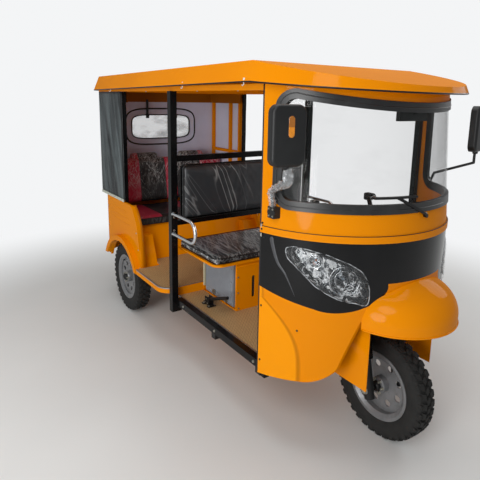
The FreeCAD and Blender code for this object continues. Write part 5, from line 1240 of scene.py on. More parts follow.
# Painted light along the pressed crease: one face is painted lighter and the other darker as its lit and shaded
# sides, and the fold itself carries a painted shadow line.
painted_crease_shade = (1 - (past - 0.5).size() * 2).limited()
crease_lit_and_shaded_faces = apron_enamel.mix(step_up, "F09404", "E38602")
crease_lit_and_shaded_faces = apron_enamel.mix(painted_crease_shade * 0.55, crease_lit_and_shaded_faces, "B86C04")
apron_enamel.wear(Base_Color=apron_enamel.mix(splash.limited() * 0.5, crease_lit_and_shaded_faces, "C48936"),
                  Roughness=0.23 + splash * 0.3)
apron_enamel.relief(1 - step_up, 0.012, 1.0)
coat_node(apron_enamel, "front_apron")
coat_node(enamel, "front_cowl", "nose_mudguard", "front_wheel_bay")
band_gloss = Finish("gloss_black_moulding", "0A0A0B", Roughness=0.16, Coat_Weight=0.12, Coat_Roughness=0.05,
                    Specular_IOR_Level=0.2)
hazy = band_gloss.patches(0.45, 7, 5, 0.6)
band_gloss.worn(hazy, "0B0B0C", "202022", 0.14 + hazy * 0.35)
band_gloss.grain(380, 2, 0.0001, 0.35)
coat_node(band_gloss, "lamp_band")
seam_black = Finish("sealing_strip", "070707", Roughness=0.6)
seam_black.grain(700, 2, 0.0002, 0.4)

crescent_mesh = bmesh.new()
for side in (-1, 1):
    spine = smooth_route([(0.899, 0, 1.047), (0.906, 0, 1.009), (0.934, 0, 0.934), (0.974, 0, 0.882),
                          (1.018, 0, 0.790)], 10)
    rows = []
    for n, (point, ahead) in enumerate(zip(spine, ways(spine))):
        part = n / (len(spine) - 1)
        wide = 0.0105 * (1 - part ** 1.6) * min(1, 0.45 + part * 6) + 0.0004
        across = Vector((ahead.z, 0, -ahead.x)).normalized()
        row = []
        for angle in [pi * k / 8 for k in range(9)]:
            spot = point + across * wide * cos(angle)
            out = 0.0030 * sin(angle) * (1 - part * 0.6) - 0.0006
            row.append(crescent_mesh.verts.new(on_shell(spot.x, spot.z, out, side)))
        rows.append(row)
    skin(crescent_mesh, rows, ends=True)
# The crescent is part of the black moulding; its grey is a painted highlight along the moulded ridge.
crescent_highlight_grey = Finish("crescent_moulding", "3C3D40", Roughness=0.28, Specular_IOR_Level=0.5)
crescent_highlight_grey.wear(Base_Color=crescent_highlight_grey.mix(crescent_highlight_grey.cloud(30, 3), "35363A", "4A4B4F"))
mesh_piece("band_crescents", crescent_mesh, crescent_highlight_grey)

seam_mesh = bmesh.new()
add_tube(seam_mesh, shell_arc(1.0888, 0.0016), 0.0019, 6)
add_tube(seam_mesh, shell_arc(1.0574, 0.0012), 0.0016, 6)
for side in (-1, 1):
    edge = [on_shell(0.8345, 0.352 + 0.0706 * n, -0.005, side) for n in range(11)]
    edge += [Vector((0.8345, side * (0.5518 + 0.0001 * n), 1.058 + 0.0666 * n)) for n in range(1, 11)]
    add_tube(seam_mesh, edge, 0.0062, 8)
mesh_piece("shell_sealing_strips", seam_mesh, seam_black)
shell_screws = []
for side in (-1, 1):
    for x, z, out in ((0.846, 1.074, 0.005), (0.858, 1.035, 0.0), (0.846, 1.102, 0.0), (0.850, 0.420, 0.0),
                      (0.850, 0.700, 0.0), (1.032, 0.628, 0.0)):
        spot = on_shell(x, z, out, side)
        shell_screws.append((spot, (spot.x - SHELL_X, spot.y, 0)))
bolts("shell_screws", shell_screws, seam_black, 0.0040, 0.0026, 12)
hinge_mesh = bmesh.new()
for side in (-1, 1):
    for z in (1.046, 1.090):
        spot = on_shell(0.842, z, 0.003, side)
        add_cylinder(hinge_mesh, spot - Vector((0, 0, 0.008)), spot + Vector((0, 0, 0.008)), 0.0042, 12)
mesh_piece("shell_edge_pins", hinge_mesh, bright, smooth=False)

# Nose mudguard: a spun dome in the same enamel with a rolled lower lip.
lip_mesh = bmesh.new()
NOSE_X, NOSE_R = 1.170, 0.290
meet = acos(((SHELL_R ** 2 - NOSE_R ** 2) - (NOSE_X - SHELL_X) ** 2) / (2 * NOSE_R * (NOSE_X - SHELL_X)))
nose_angles = [meet * (2 * n / 60 - 1) * 0.985 for n in range(61)]
add_tube(lip_mesh, [(NOSE_X + NOSE_R * cos(angle), NOSE_R * sin(angle), 0.6655) for angle in nose_angles],
         0.0042, 8)
mesh_piece("nose_lip", lip_mesh, enamel)


# Headlamps: a clear moulded lens over a chromed tray with a deep main bowl, a small turn bowl above
# and a row of little diodes below, still wrapped in thin clear film.
lens_clear = Finish("clear_lamp_lens", "2A2F33", Roughness=0.04, Specular_IOR_Level=0.7, Coat_Weight=0.3)
# The lens is tinted dark and turns more opaque edge-on: painted shade at its edges.
edge_on = lens_clear.node("ShaderNodeLayerWeight", {}, Blend=0.35, out=1)
lens_clear.wear(Alpha=(0.06 + edge_on * 0.4).limited())
lens_clear.grain(12, 1, 0.0004, 0.2)
coat_node(lens_clear, "headlamp_lenses")
lamp_dark = painted_black("lamp_body_moulding", 0.35, 30)
coat_node(lamp_dark, "headlamp_housings")
chromed = Finish("vacuum_chrome", "D8DBDE", Metallic=1.0, Roughness=0.12)
chromed.wear(Roughness=0.08 + chromed.cloud(50, 3) * 0.12)
chromed.grain(90, 3, 0.0004, 0.3, 0.5)
faceted = Finish("faceted_lamp_chrome", "D8DBDE", Metallic=1.0, Roughness=0.1)
facets = faceted.node("ShaderNodeTexVoronoi", {}, Vector=faceted.place((1, 1, 0.6)), Scale=78, out=1)
facets = faceted.node("ShaderNodeSeparateColor", {}, facets)
# Each facet's colour runs from dark grey to white: painted glints and reflections on chrome that is one bright
# metal.
painted_glints = faceted.ramp(facets, (0.0, "25282B"), (0.36, "6C7176"), (0.52, "D4D8DB"), (1.0, "FAFBFC"))
faceted.wear(Base_Color=painted_glints, Roughness=0.06 + facets * 0.16)
faceted.relief(facets, 0.003, 0.7)
LAMP_EDGE = smooth_route([(0, y, z) for y, z in (
    (0.506, 1.010), (0.506, 0.977), (0.459, 0.877), (0.420, 0.834), (0.363, 0.802), (0.312, 0.802),
    (0.286, 0.821), (0.281, 0.858), (0.299, 0.913), (0.336, 0.949), (0.402, 0.984), (0.452, 1.007),
    (0.485, 1.017))], 9, closed=True)
LAMP_MID = Vector((0, 0.375, 0.905))


def lamp_point(y, z, out, side):
    """A place behind or before the shell's skin at a height and a distance from the middle."""
    angle = asin(min(0.999, y / SHELL_R))
    return Vector((SHELL_X + (SHELL_R + out) * cos(angle), side * (SHELL_R + out) * sin(angle), z))


BOWLS = ((0.352, 0.880, 0.066, 0.058), (0.447, 0.960, 0.030, 0.030))


def tray_depth(y, z):
    """How far behind the skin the chromed tray lies; bowls sink into it."""
    angle = asin(min(0.999, y / SHELL_R))
    deep = 0.026
    for bowl_y, bowl_z, radius, sink in BOWLS:
        middle = asin(bowl_y / SHELL_R)
        away = hypot((angle - middle) * (SHELL_R - 0.03), z - bowl_z)
        if away < radius:
            deep = max(deep, 0.026 + sink * (1 - (away / radius) ** 2))
    return min(deep, 0.086)


def tray_point(part, point, side):
    """A place on the tray, part of the way from the lamp's middle to a point of its edge."""
    spot = LAMP_MID.lerp(point, part)
    return lamp_point(spot.y, spot.z, -tray_depth(spot.y, spot.z), side)


tray_mesh, edge_mesh, jewel_mesh, core_mesh = bmesh.new(), bmesh.new(), bmesh.new(), bmesh.new()
for side in (-1, 1):
    rings = [[tray_mesh.verts.new(tray_point(0.955 * step / 56, point, side)) for point in LAMP_EDGE]
             for step in range(1, 57)]
    middle = tray_mesh.verts.new(tray_point(0, LAMP_MID, side))
    count = len(LAMP_EDGE)
    for a in range(count):
        tray_mesh.faces.new((middle, rings[0][a], rings[0][(a + 1) % count]))
    skin(tray_mesh, rings[::-1])
    bezel = [LAMP_MID.lerp(point, 0.962) for point in LAMP_EDGE[::2]]
    add_tube(edge_mesh, [lamp_point(spot.y, spot.z, -0.012, side) for spot in bezel], 0.0052, 8, closed=True)
    for bowl_y, bowl_z, radius, sink in BOWLS:
        outward = (lamp_point(bowl_y, bowl_z, 0, side) - lamp_point(bowl_y, bowl_z, -0.1, side)).normalized()
        turned_out = outward.to_track_quat("Z", "Y").to_matrix()
        for grow, back, thick in ((1.0, 0.022, 0.0030), (0.62, 0.036, 0.0016)):
            bowl_mid = lamp_point(bowl_y, bowl_z, -back, side)
            add_tube(jewel_mesh, ring(bowl_mid, *turned_out.col[:2], radius * grow, 48), thick, 8, closed=True)
        base = lamp_point(bowl_y, bowl_z, -0.026 - sink * 0.98, side)
        add_cylinder(jewel_mesh, base, base + outward * sink * 0.42, radius * 0.20, 20, radius * 0.17)
        add_cylinder(core_mesh, base + outward * sink * 0.42, base + outward * sink * 0.58, radius * 0.15, 18,
                     radius * 0.05)
    for n in range(7):
        y, z = 0.400 - n * 0.0165, 0.826 - 0.0009 * n + 0.0002125 * n * n
        spot = lamp_point(y, z, -0.024, side)
        outward = (lamp_point(y, z, 0, side) - spot).normalized()
        add_cylinder(jewel_mesh, spot, spot + outward * 0.005, 0.0058, 14, 0.0050)
        add_cylinder(core_mesh, spot + outward * 0.005, spot + outward * 0.0062, 0.0040, 12, 0.0030)
tray_data = mesh_piece("lamp_trays", tray_mesh, faceted)
add_modifier(tray_data, "SOLIDIFY", thickness=0.0012, offset=0)
settle(tray_data)
mesh_piece("lamp_bowl_rings", jewel_mesh, chromed)
mesh_piece("lamp_bezels", edge_mesh, lamp_dark)
bulb_glass = Finish("lamp_bulb", "B9C2C8", Roughness=0.08, Specular_IOR_Level=0.8)
bulb_glass.wear(Base_Color=bulb_glass.mix(bulb_glass.axis("Z") > 0.925, "6E7A84", "D9671A"))
bulb_glass.grain(200, 1, 0.0003, 0.3)
mesh_piece("lamp_bulbs", core_mesh, bulb_glass)

# The film round each lamp: one thin sheet, pulled tight over the lens and bunched at its ends.
packing_film = Finish("clear_packing_film", "EDF1F4", Roughness=0.1, Specular_IOR_Level=1.0, Coat_Weight=0.6)


def film_look(finish, scale, bend, least=0.02, most=0.4):
    """Nearly clear; it shows as short white creases, painted highlights of the film, where a broad patch lets
    them.
    """
    fine = (1 - (finish.cloud(scale, 2, bend=bend) - 0.5).size() * 26).limited()
    patch = ((finish.cloud(scale * 0.4, 2) - 0.5) * 9).limited()
    finish.wear(Alpha=(least + fine * patch * most).limited())
    finish.relief(finish.cloud(scale * 0.5, 2), 0.002, 0.4)


film_look(packing_film, 24, 0.6)
film_fold = Finish("film_fold", "DDE2E6", Roughness=0.2, Alpha=0.5, Specular_IOR_Level=0.8)
film_fold.wear(Alpha=((film_fold.cloud(30, 3) - 0.38) * 3).limited() * 0.75)
FILM_EDGE = smooth_route([(0, y, z) for y, z in (
    (0.512, 1.014), (0.515, 0.985), (0.506, 0.955), (0.476, 0.905), (0.430, 0.842), (0.365, 0.800),
    (0.318, 0.790), (0.268, 0.782), (0.262, 0.850), (0.286, 0.920), (0.330, 0.960), (0.400, 0.996),
    (0.452, 1.014), (0.490, 1.022))], 7, closed=True)
fold_mesh = bmesh.new()
for side, label in ((-1, "right"), (1, "left")):
    rows = []
    for point in FILM_EDGE:
        row = []
        for part in [0.04 + 0.96 * step / 14 for step in range(15)]:
            spot = LAMP_MID.lerp(point, part)
            ripple = noise.noise(Vector((spot.y * 38, spot.z * 38, side * 3.0))) * 0.0026 * (0.3 + part)
            lift = 0.0122 - 0.0090 * soft_step((part - 0.88) / 0.12) + max(ripple, -0.0015)
            row.append(lamp_point(spot.y, spot.z, lift, side))
        rows.append(row)
    fold = [row[-1] + Vector((0, 0, 0.0007 * sin(n * 0.9))) for n, row in enumerate(rows)]
    add_tube(fold_mesh, fold, 0.0021, 6, closed=True)
    film, area = cloth_wall("lamp_film_" + label, packing_film, rows, 0.0006, closed=True)
mesh_piece("lamp_film_folds", fold_mesh, film_fold)


# Windshield: laminated glass held in a black rubber seal with a locking groove; a wiper with a
# rubber blade parks along its foot.
screen_glass = Finish("windshield_glass", "2C3331", Roughness=0.03, Specular_IOR_Level=0.7)
# The glass is tinted dark and grows more opaque edge-on: painted shade over the view through it.
edge_on = screen_glass.node("ShaderNodeLayerWeight", {}, Blend=0.25, out=1)
smear = screen_glass.patches(0.5, 5, 5, 0.6, (1, 1, 2))
screen_glass.wear(Alpha=(0.07 + edge_on * 0.3 + smear * 0.1).limited(), Roughness=0.03 + smear * 0.25)
coat_node(screen_glass, "windshield")
seal_rubber = Finish("seal_rubber", "151617", Roughness=0.45, Coat_Weight=0.25, Coat_Roughness=0.25)
chalky = seal_rubber.patches(0.45, 12, 5, 0.6)
seal_rubber.worn(chalky * 1.4, "131415", "343637", 0.36 + chalky * 0.5)
seal_rubber.grain(240, 3, 0.0004, 0.4)
coat_node(seal_rubber, "windshield_seal")
wiper_black = painted_black("wiper_black", 0.35, 40)
coat_node(wiper_black, "wiper")


LEAN_LOW, LEAN_RISE, TOP_RUN = 1.058, 0.666, 0.323


def lean_centre(z):
    """The middle of the leaning shell's plan at a height."""
    return 0.740 - 0.073 * (z - LEAN_LOW) / LEAN_RISE


def lean_point(x, z, out, side):
    """A point on the leaning upper shell, a distance outside it."""
    radius = 0.565 + 0.017 * (z - LEAN_LOW) / LEAN_RISE + out
    angle = acos(max(-1.0, min(1.0, (x - lean_centre(z)) / radius)))
    return Vector((lean_centre(z) + radius * cos(angle), side * radius * sin(angle), z))


def lean_round(point, steps, dip=0.0):
    """Steps from a point on the leaning shell round to its middle, and beyond it after the span."""
    centre_x, span = lean_centre(point.z), 12
    radius, start = hypot(point.x - centre_x, point.y), atan2(point.y, point.x - centre_x)
    return [Vector((centre_x + radius * cos(start * (1 - n / span)), radius * sin(start * (1 - n / span)),
                    point.z - dip * sin(pi * n / span / 2))) for n in range(1, steps + 1)]


# The locking strip lies in the seal's groove, all round the glass, as one slim bead.
def screen_line(inset, out):
    """The seal's outline from the nose foot round the right rear corners to the nose top."""
    rear, low, high, corner, nose_high = 0.898 + inset, 1.183 + inset, 1.704 - inset, 0.084 - inset, 1.634 - inset
    bend = [(corner - corner * sin(a * pi / 16), corner - corner * cos(a * pi / 16)) for a in range(9)]
    flat = [(x, low) for x in (1.28, 1.24, 1.18, 1.12, 1.06, 1.02)] + [(rear + x, low + z) for x, z in bend]
    flat += [(rear, low + corner + (high - low - 2 * corner) * n / 6) for n in range(1, 6)]
    flat += [(rear + x, high - z) for x, z in bend[::-1]]
    flat += [(x, high + (nose_high - high) * (x - rear - corner) / TOP_RUN)
             for x in (1.02, 1.06, 1.12, 1.18, 1.22)]
    return [lean_point(x, z, out, -1) for x, z in flat]


strip_mesh = bmesh.new()
loop = screen_line(0.018, 0.0058)
loop += lean_round(loop[-1], 12, 0.004)
loop += [Vector((p.x, -p.y, p.z)) for p in loop[-2::-1]]
loop += lean_round(loop[-1], 23)
add_tube(strip_mesh, loop, 0.0026, 8, closed=True)
mesh_piece("seal_locking_strip", strip_mesh, seal_rubber)
wiper_mesh = bmesh.new()
add_cylinder(wiper_mesh, (1.300, 0.0, 1.172), (1.306, 0.0, 1.1735), 0.0075, 16)
mesh_piece("wiper_cap", wiper_mesh, bright, smooth=False)


# Fork: cast sliders and drawn legs under rough black paint, with black ribbed gaiters over the
# springs, pinch bolts in the clamp and nuts on the axle.
RAKE = radians(12)
UP_FORK = Vector((-sin(RAKE), 0, cos(RAKE)))


def fork_point(along, forward, y):
    return Vector((1.110 + forward, y, 0.267)) + UP_FORK * along


gaiter_rubber = Finish("gaiter_rubber", "121314", Roughness=0.55, Coat_Weight=0.15)
dusty = gaiter_rubber.patches(0.42, 30, 4, 0.6)
gaiter_rubber.worn(dusty, "111213", "3A3936", 0.46 + dusty * 0.5)
gaiter_rubber.grain(500, 2, 0.0002, 0.4)
gaiter_mesh = bmesh.new()
RIBS, GAITER_LOW, GAITER_LONG, LEG_FORWARD, LEG_Y = 15, 0.1563, 0.1630, 0.040, 0.105
side_way = Vector((0, 1, 0))
fore_way = UP_FORK.cross(side_way).normalized()
for y in (-LEG_Y, LEG_Y):
    radii = [0.0330 + 0.0036 * cos(2 * pi * step / 6 + pi) for step in range(RIBS * 6 + 1)]
    radii[:2] = radii[-2:] = [0.0345] * 2
    rings = []
    for number, radius in [(0, 0.0174), *enumerate(radii), (RIBS * 6, 0.0174)]:
        middle = fork_point(GAITER_LOW + GAITER_LONG * number / (RIBS * 6), LEG_FORWARD, y)
        rings.append([gaiter_mesh.verts.new(spot) for spot in ring(middle, side_way, fore_way, radius, 36)])
    skin(gaiter_mesh, rings + [rings[0]])
gaiters = mesh_piece("fork_gaiters", gaiter_mesh, gaiter_rubber, body="steering")
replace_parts(gaiters, "fork_springs")
fork_bolts = [(fork_point(0.335, LEG_FORWARD + 0.0295, y), (cos(RAKE), 0, sin(RAKE)))
              for y in (-0.088, -0.118, 0.088, 0.118)]
fork_bolts += [(fork_point(0.3502, LEG_FORWARD, y), UP_FORK) for y in (-LEG_Y, LEG_Y)]
bolts("fork_clamp_bolts", fork_bolts, bright, 0.0062, 0.006, body="steering")
axle_nuts = [((FRONT_AXLE_X, side * 0.1302, AXLE_Z), (0, side, 0)) for side in (-1, 1)]
bolts("front_axle_nuts", axle_nuts, bright, 0.0125, 0.010, body="steering")

# Handlebar: tube under black enamel, with ribbed black grips, chromed levers and switch pods; the grab rails are
# chromed.
coat_node(chromed, "grab_rails")
bar_paint = painted_black("bar_black_enamel", 0.28, 18)
coat_node(bar_paint, "handlebar")
grip_rubber = Finish("grip_rubber", "141415", Roughness=0.6)
grip_low, grip_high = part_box("handlebar_grips")
ribbing = (grip_rubber.axis("Y") * (2 * pi / 0.0045)).sine()
grip_rubber.wear(Roughness=0.5 + grip_rubber.cloud(60, 3) * 0.2)
grip_rubber.relief(ribbing, 0.0008, 0.8)
coat_node(grip_rubber, "handlebar_grips")
lever_mesh, pod_mesh = bmesh.new(), bmesh.new()
for side in (-1, 1):
    hub = Vector((grip_high.x + 0.004, side * (abs(grip_low.y) - 0.118), grip_high.z - 0.012))
    add_box(pod_mesh, hub + Vector((-0.030, -0.016, -0.020)), hub + Vector((0.016, 0.016, 0.020)), 0.007)
    add_cylinder(pod_mesh, hub + Vector((-0.032, 0, 0.006)), hub + Vector((-0.028, 0, 0.006)), 0.006, 14)
    lever_route = smooth_route([hub + Vector((x, side * y, z)) for x, y, z in (
        (0.010, 0, 0), (0.040, 0.030, -0.004), (0.040, 0.080, -0.012), (0.020, 0.125, -0.018))], 8)
    taper = [0.0065 - 0.0025 * n / len(lever_route) for n in range(len(lever_route))]
    add_tube(lever_mesh, lever_route, taper, 10)
    bmesh.ops.create_uvsphere(lever_mesh, u_segments=14, v_segments=10, radius=0.0062,
                              matrix=Matrix.Translation(lever_route[-1]))
mesh_piece("brake_levers", lever_mesh, chromed, body="steering")
mesh_piece("switch_pods", pod_mesh, tray_plastic, body="steering", smooth=False)


# Driver's seat: a flat foam pad and a leaning back pad in charcoal vinyl with piped borders, both
# still wrapped in thin clear film, on an amber pan and a black tube frame.
driver_vinyl = film_vinyl("driver_vinyl_under_film", base="2B2D30", slants=(-20, -37, 70), scale=24, thin=26,
                          share=0.42, amount=0.42, detail=0.4,
                          ends=lambda finish: ((finish.axis("Y") - 0.12) * 8).limited())
pad_vinyl = film_vinyl("driver_seat_vinyl", base="232426", facing="Z", slants=(8, -6, 24), scale=30, thin=19,
                       amount=0.34, long=0.08, bunched=lambda finish: ((finish.axis("Y") + 0.02) * 6).limited()
                       + ((-0.445 - finish.axis("Y")) * 90).limited())
pad_low, pad_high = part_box("driver_cushion")


def driver_pad_rule(place):
    if place.z > pad_low.z + 0.022:
        place.z -= crumple(Vector((place.x * 0.5, place.y, place.z)), 30, 0.0012)
    place.z = min(place.z, pad_high.z + 0.003)
    return place


foam_pad("driver_seat_pad", "driver_cushion",
         [(pad_low + Vector((0.006, 0.006, 0.001)), pad_high - Vector((0.006, 0.006, 0.007)), 0.004)],
         pad_vinyl, 0.0075, 0.009,
         lambda old, move: Vector((move.x * 0.5, move.y * 0.5,
                                   max(move.z, 0) if old.z > pad_low.z + 0.02 else 0)),
         1, driver_pad_rule)
pipe_mesh, INSET = bmesh.new(), 0.0035
for z in (pad_high.z - 0.007, pad_low.z + 0.006):
    x0, y0, x1, y1 = pad_low.x + INSET, pad_low.y + INSET, pad_high.x - INSET, pad_high.y - INSET
    corner, route = [(x1, y1), (x0, y1), (x0, y0), (x1, y0)], []
    for n in range(4):
        start, end = Vector(corner[n]), Vector(corner[(n + 1) % 4])
        for step in range(16):
            spot = start.lerp(end, (step + 0.5) / 16 * 0.96 + 0.02)
            route.append((spot.x, spot.y, z + 0.0006 * sin(step * 2.1 + n)))
    add_tube(pipe_mesh, route, 0.0030, 8, closed=True)
rest_low, rest_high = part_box("driver_backrest")


def driver_back_rule(place):
    if place.x > rest_low.x + 0.03:
        place.x += crumple(Vector((place.x, place.y, place.z * 0.8)), 15, 0.0016) - 0.0010
    place.x = min(place.x, rest_high.x + 0.004)
    return place


foam_pad("driver_back_pad", "driver_backrest",
         [(rest_low + Vector((0.001, 0.006, 0.006)), rest_high - Vector((0.008, 0.006, 0.006)), 0.012)],
         driver_vinyl, 0.0085, 0.010,
         lambda old, move: Vector((max(move.x, 0) if old.x > rest_low.x + 0.02 else 0, move.y * 0.4,
                                   move.z * 0.4)),
         2, driver_back_rule)


def rounded(low, high, corner, steps=6):
    """A rounded rectangle between two corners of a plane, from the middle of one side all round."""
    points = []
    for a, b, start in ((high[0] - corner, high[1] - corner, 0), (low[0] + corner, high[1] - corner, 90),
                        (low[0] + corner, low[1] + corner, 180), (high[0] - corner, low[1] + corner, 270)):
        angles = [radians(start + 90 * step / steps) for step in range(steps + 1)]
        points += [(a + corner * cos(angle), b + corner * sin(angle)) for angle in angles]
    return points


rest_edge = rounded((rest_low.y + INSET, rest_low.z + INSET), (rest_high.y - INSET, rest_high.z - INSET), 0.028)
for x in (rest_high.x - 0.008, rest_low.x + 0.006):
    add_tube(pipe_mesh, [(x, y, z) for y, z in rest_edge], 0.0030, 8, closed=True)
mesh_piece("driver_seat_piping", pipe_mesh, piping)

# Seat box: folded sheet under amber enamel, open on the right, with a rolled lip round its mouth
# and a pressed line along its front.
coat_node(enamel, "seat_box")
lip_mesh = bmesh.new()
BOX_FRONT, BOX_REAR, BOX_Y, BOX_FLOOR, BOX_TOP = 0.277, -0.125, 0.312, 0.385, 0.690
mouth = [(BOX_REAR + 0.008, BOX_FLOOR + 0.006), (BOX_FRONT - 0.007, BOX_FLOOR + 0.006),
         (BOX_FRONT - 0.007, BOX_TOP - 0.003)]
add_tube(lip_mesh, [(x, -BOX_Y + 0.001, z) for x, z in mouth], 0.0042, 8)
add_tube(lip_mesh, [(BOX_FRONT + 0.0004, y, 0.668) for y in (-BOX_Y + 0.004, BOX_Y - 0.004)], 0.0022, 6)
pan_edge = [(-0.188, -0.4685), (0.235, -0.4685), (0.2555, -0.4645), (0.2745, -0.4520), (0.2880, -0.4330),
            (0.2935, -0.4080)]
pan_edge += [(x, -y) for x, y in pan_edge[::-1]]
for z in (0.6925, 0.7015):
    add_tube(lip_mesh, [(x, y, z) for x, y in pan_edge], 0.0024, 6)
mesh_piece("seat_box_lips", lip_mesh, enamel)
box_screws = [(y, 0.400) for y in (-0.295, 0.0, 0.295)] + [(-0.300, 0.50), (-0.300, 0.60)]
bolts("seat_box_screws", [((BOX_FRONT, y, z), (1, 0, 0)) for y, z in box_screws], bright, 0.0044,
      0.0034)

# Battery case: grey moulded box; its right side is a lid with a raised rounded frame, fine uprights
# and two latches, and a cream strip stands behind it.
case_grey = Finish("grey_moulding", "8E939A", Roughness=0.5, Specular_IOR_Level=0.3)
rubbed = case_grey.patches(0.45, 24, 5, 0.65)
case_grey.worn(rubbed, "8E939A", "ABAFB5", 0.45 + rubbed * 0.35)
case_grey.grain(330, 3, 0.0004, 0.45)
coat_node(case_grey, "battery_case")
case_low, case_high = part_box("battery_case")
case_mesh, latch_mesh = bmesh.new(), bmesh.new()
face_y = case_low.y
for grow, out, thick in ((0.010, 0.0016, 0.0042), (0.030, 0.0012, 0.0022)):
    frame_line = rounded((case_low.x + grow, case_low.z + grow), (case_high.x - grow, case_high.z - grow),
                         0.030 - grow * 0.3)
    add_tube(case_mesh, [(x, face_y - out, z) for x, z in frame_line], thick, 8, closed=True)
rib = boxes(((-0.0018, -0.0022, case_low.z + 0.044), (0.0018, 0.001, case_high.z - 0.044), 0.0006))
repeated("battery_case_uprights", rib, 19, case_grey, (case_low.x + 0.048, face_y, 0),
         ((case_high.x - case_low.x - 0.096) / 18, 0, 0))
for z in (0.455, 0.540, 0.625):
    add_box(case_mesh, (case_high.x - 0.030, face_y - 0.0060, z - 0.006),
            (case_high.x - 0.002, face_y + 0.001, z + 0.006), 0.002)
for x in (0.150, 0.000):
    add_box(latch_mesh, (x - 0.016, face_y - 0.0080, case_low.z + 0.006),
            (x + 0.016, face_y, case_low.z + 0.040), 0.003)
    add_tube(latch_mesh, [(x + shift, face_y - out, case_low.z + z) for shift, out, z in (
        (-0.010, 0.010, 0.034), (-0.010, 0.011, 0.010), (0.010, 0.011, 0.010), (0.010, 0.010, 0.034))], 0.0018, 6)
mesh_piece("battery_case_ribs", case_mesh, case_grey, smooth=False)
mesh_piece("battery_case_latches", latch_mesh, bright, smooth=False)
cream = Finish("cream_strip", "D9D3B4", Roughness=0.5)
cream.wear(Base_Color=cream.mix(cream.cloud(40, 3), "DDD7B8", "C3BC9B"))
strip = ((BOX_REAR + 0.0002, -BOX_Y - 0.0020, 0.420), (BOX_REAR + 0.013, -BOX_Y + 0.010, 0.680), 0.001)
mesh_piece("seat_box_cream_strip", boxes(strip), cream, smooth=False)

# Parking lever: a rough black casting on two feet, with a pinned quadrant and a curved handle.
lever_cast = painted_black("lever_casting", 0.5, 40)
lever_cast.grain(170, 4, 0.0005, 0.6, 0.7)
coat_node(lever_cast, "parking_lever", "brake_pedal")
quadrant_mesh = bmesh.new()
LX, LY, LZ = 0.090, -0.405, 0.385
for shift in (-0.0145, 0.0145):
    add_box(quadrant_mesh, (LX - 0.006, LY + shift - 0.003, LZ + 0.006),
            (LX + 0.046, LY + shift + 0.003, LZ + 0.058), 0.010)
lever_pins = [(LX + 0.006, LZ + 0.022), (LX + 0.034, LZ + 0.022), (LX + 0.020, LZ + 0.046)]
for x, z in lever_pins:
    add_cylinder(quadrant_mesh, (x, LY - 0.0215, z), (x, LY + 0.0215, z), 0.0055, 14)
mesh_piece("lever_quadrant", quadrant_mesh, lever_cast, smooth=False)
foot_bolts = [((LX + x, LY + y, LZ + 0.006), (0, 0, 1)) for x in (-0.017, 0.047) for y in (-0.018, 0.018)]
bolts("lever_foot_bolts", foot_bolts, bright, 0.0048, 0.005)
bolts("lever_pins", [((x, LY - 0.0215, z), (0, -1, 0)) for x, z in lever_pins], bright, 0.0036,
      0.002, 12)
repeated("pedal_tread", boxes(((0.7495, -0.321, 0), (0.7525, -0.259, 0.0042), 0.0008)), 6, rubber,
         (0, 0, 0.430), (0, 0, 0.0078))

# Grab rails: bent chromed tube, held by small lugs that are bolted to the front of each post.
lug_mesh, lug_bolts = bmesh.new(), []
for side in (-1, 1):
    for z, away in ((0.951, -1), (0.823, 1)):
        y, spot_z = side * 0.550, z + away * 0.022
        add_cylinder(lug_mesh, (-0.0790, side * 0.554, z), (-0.0730, side * 0.554, z), 0.0135, 24)
        add_cylinder(lug_mesh, (-0.0790, y, spot_z), (-0.0745, y, spot_z), 0.0085, 20)
        lug_bolts.append(((-0.0745, y, spot_z), (1, 0, 0)))
mesh_piece("grab_rail_lugs", lug_mesh, chromed, smooth=False)
bolts("grab_rail_bolts", lug_bolts, bright, 0.0050, 0.004)


# Mirrors: black moulded heads with an amber reflector on the back and silvered glass on the face.
# The right stalk is still in its crumpled clear sleeve, and four screws hold each clamp.
head_plastic = Finish("mirror_moulding", "18191A", Roughness=0.5, Specular_IOR_Level=0.4)
handled = head_plastic.patches(0.46, 8, 5, 0.6)
head_plastic.worn(handled, "161718", "2C2D2E", 0.42 + handled * 0.4)
head_plastic.grain(380, 3, 0.0003, 0.4)
coat_node(head_plastic, "mirrors")
silvered = Finish("silvered_glass", "D4D8DA", Metallic=1.0, Roughness=0.03, Coat_Weight=0.5)
silvered.wear(Roughness=0.02 + silvered.patches(0.5, 20, 4) * 0.2)
amber_lens = Finish("amber_reflector", "E8860A", Roughness=0.18, Coat_Weight=0.6, Coat_Roughness=0.05)
prisms = amber_lens.cells(420)
upper = amber_lens.axis("Z") > 1.5545
amber_lens.wear(Base_Color=amber_lens.mix(upper, amber_lens.mix(prisms, "F39A12", "D97F08"), "A8640C"))
amber_lens.relief(prisms, 0.0006, 0.6)
TURN = radians(12)
HEAD = Vector((1.103, 0.650, 1.520))


def on_head(out, across, up, side):
    """A place by the mirror head: out from its pivot plane, across towards the cabin, and up."""
    return Vector((HEAD.x + out * cos(TURN) + across * sin(TURN),
                   side * (HEAD.y + out * sin(TURN) - across * cos(TURN)), HEAD.z + up))


def stadium(wide, high, corner):
    return rounded((-wide / 2, -high / 2), (wide / 2, high / 2), corner, 8)


def head_plate(made, side, shape, low_out, high_out, shrink, middle=(0, 0)):
    """A flat plate with a softened edge, parallel to the mirror head."""
    levels = ((low_out, 1), ((low_out + high_out) / 2, 1), (high_out, 1 - shrink))
    skin(made, [[made.verts.new(on_head(out, middle[0] + x * scale, middle[1] + z * scale, side))
                 for x, z in shape] for out, scale in levels], ends=True)


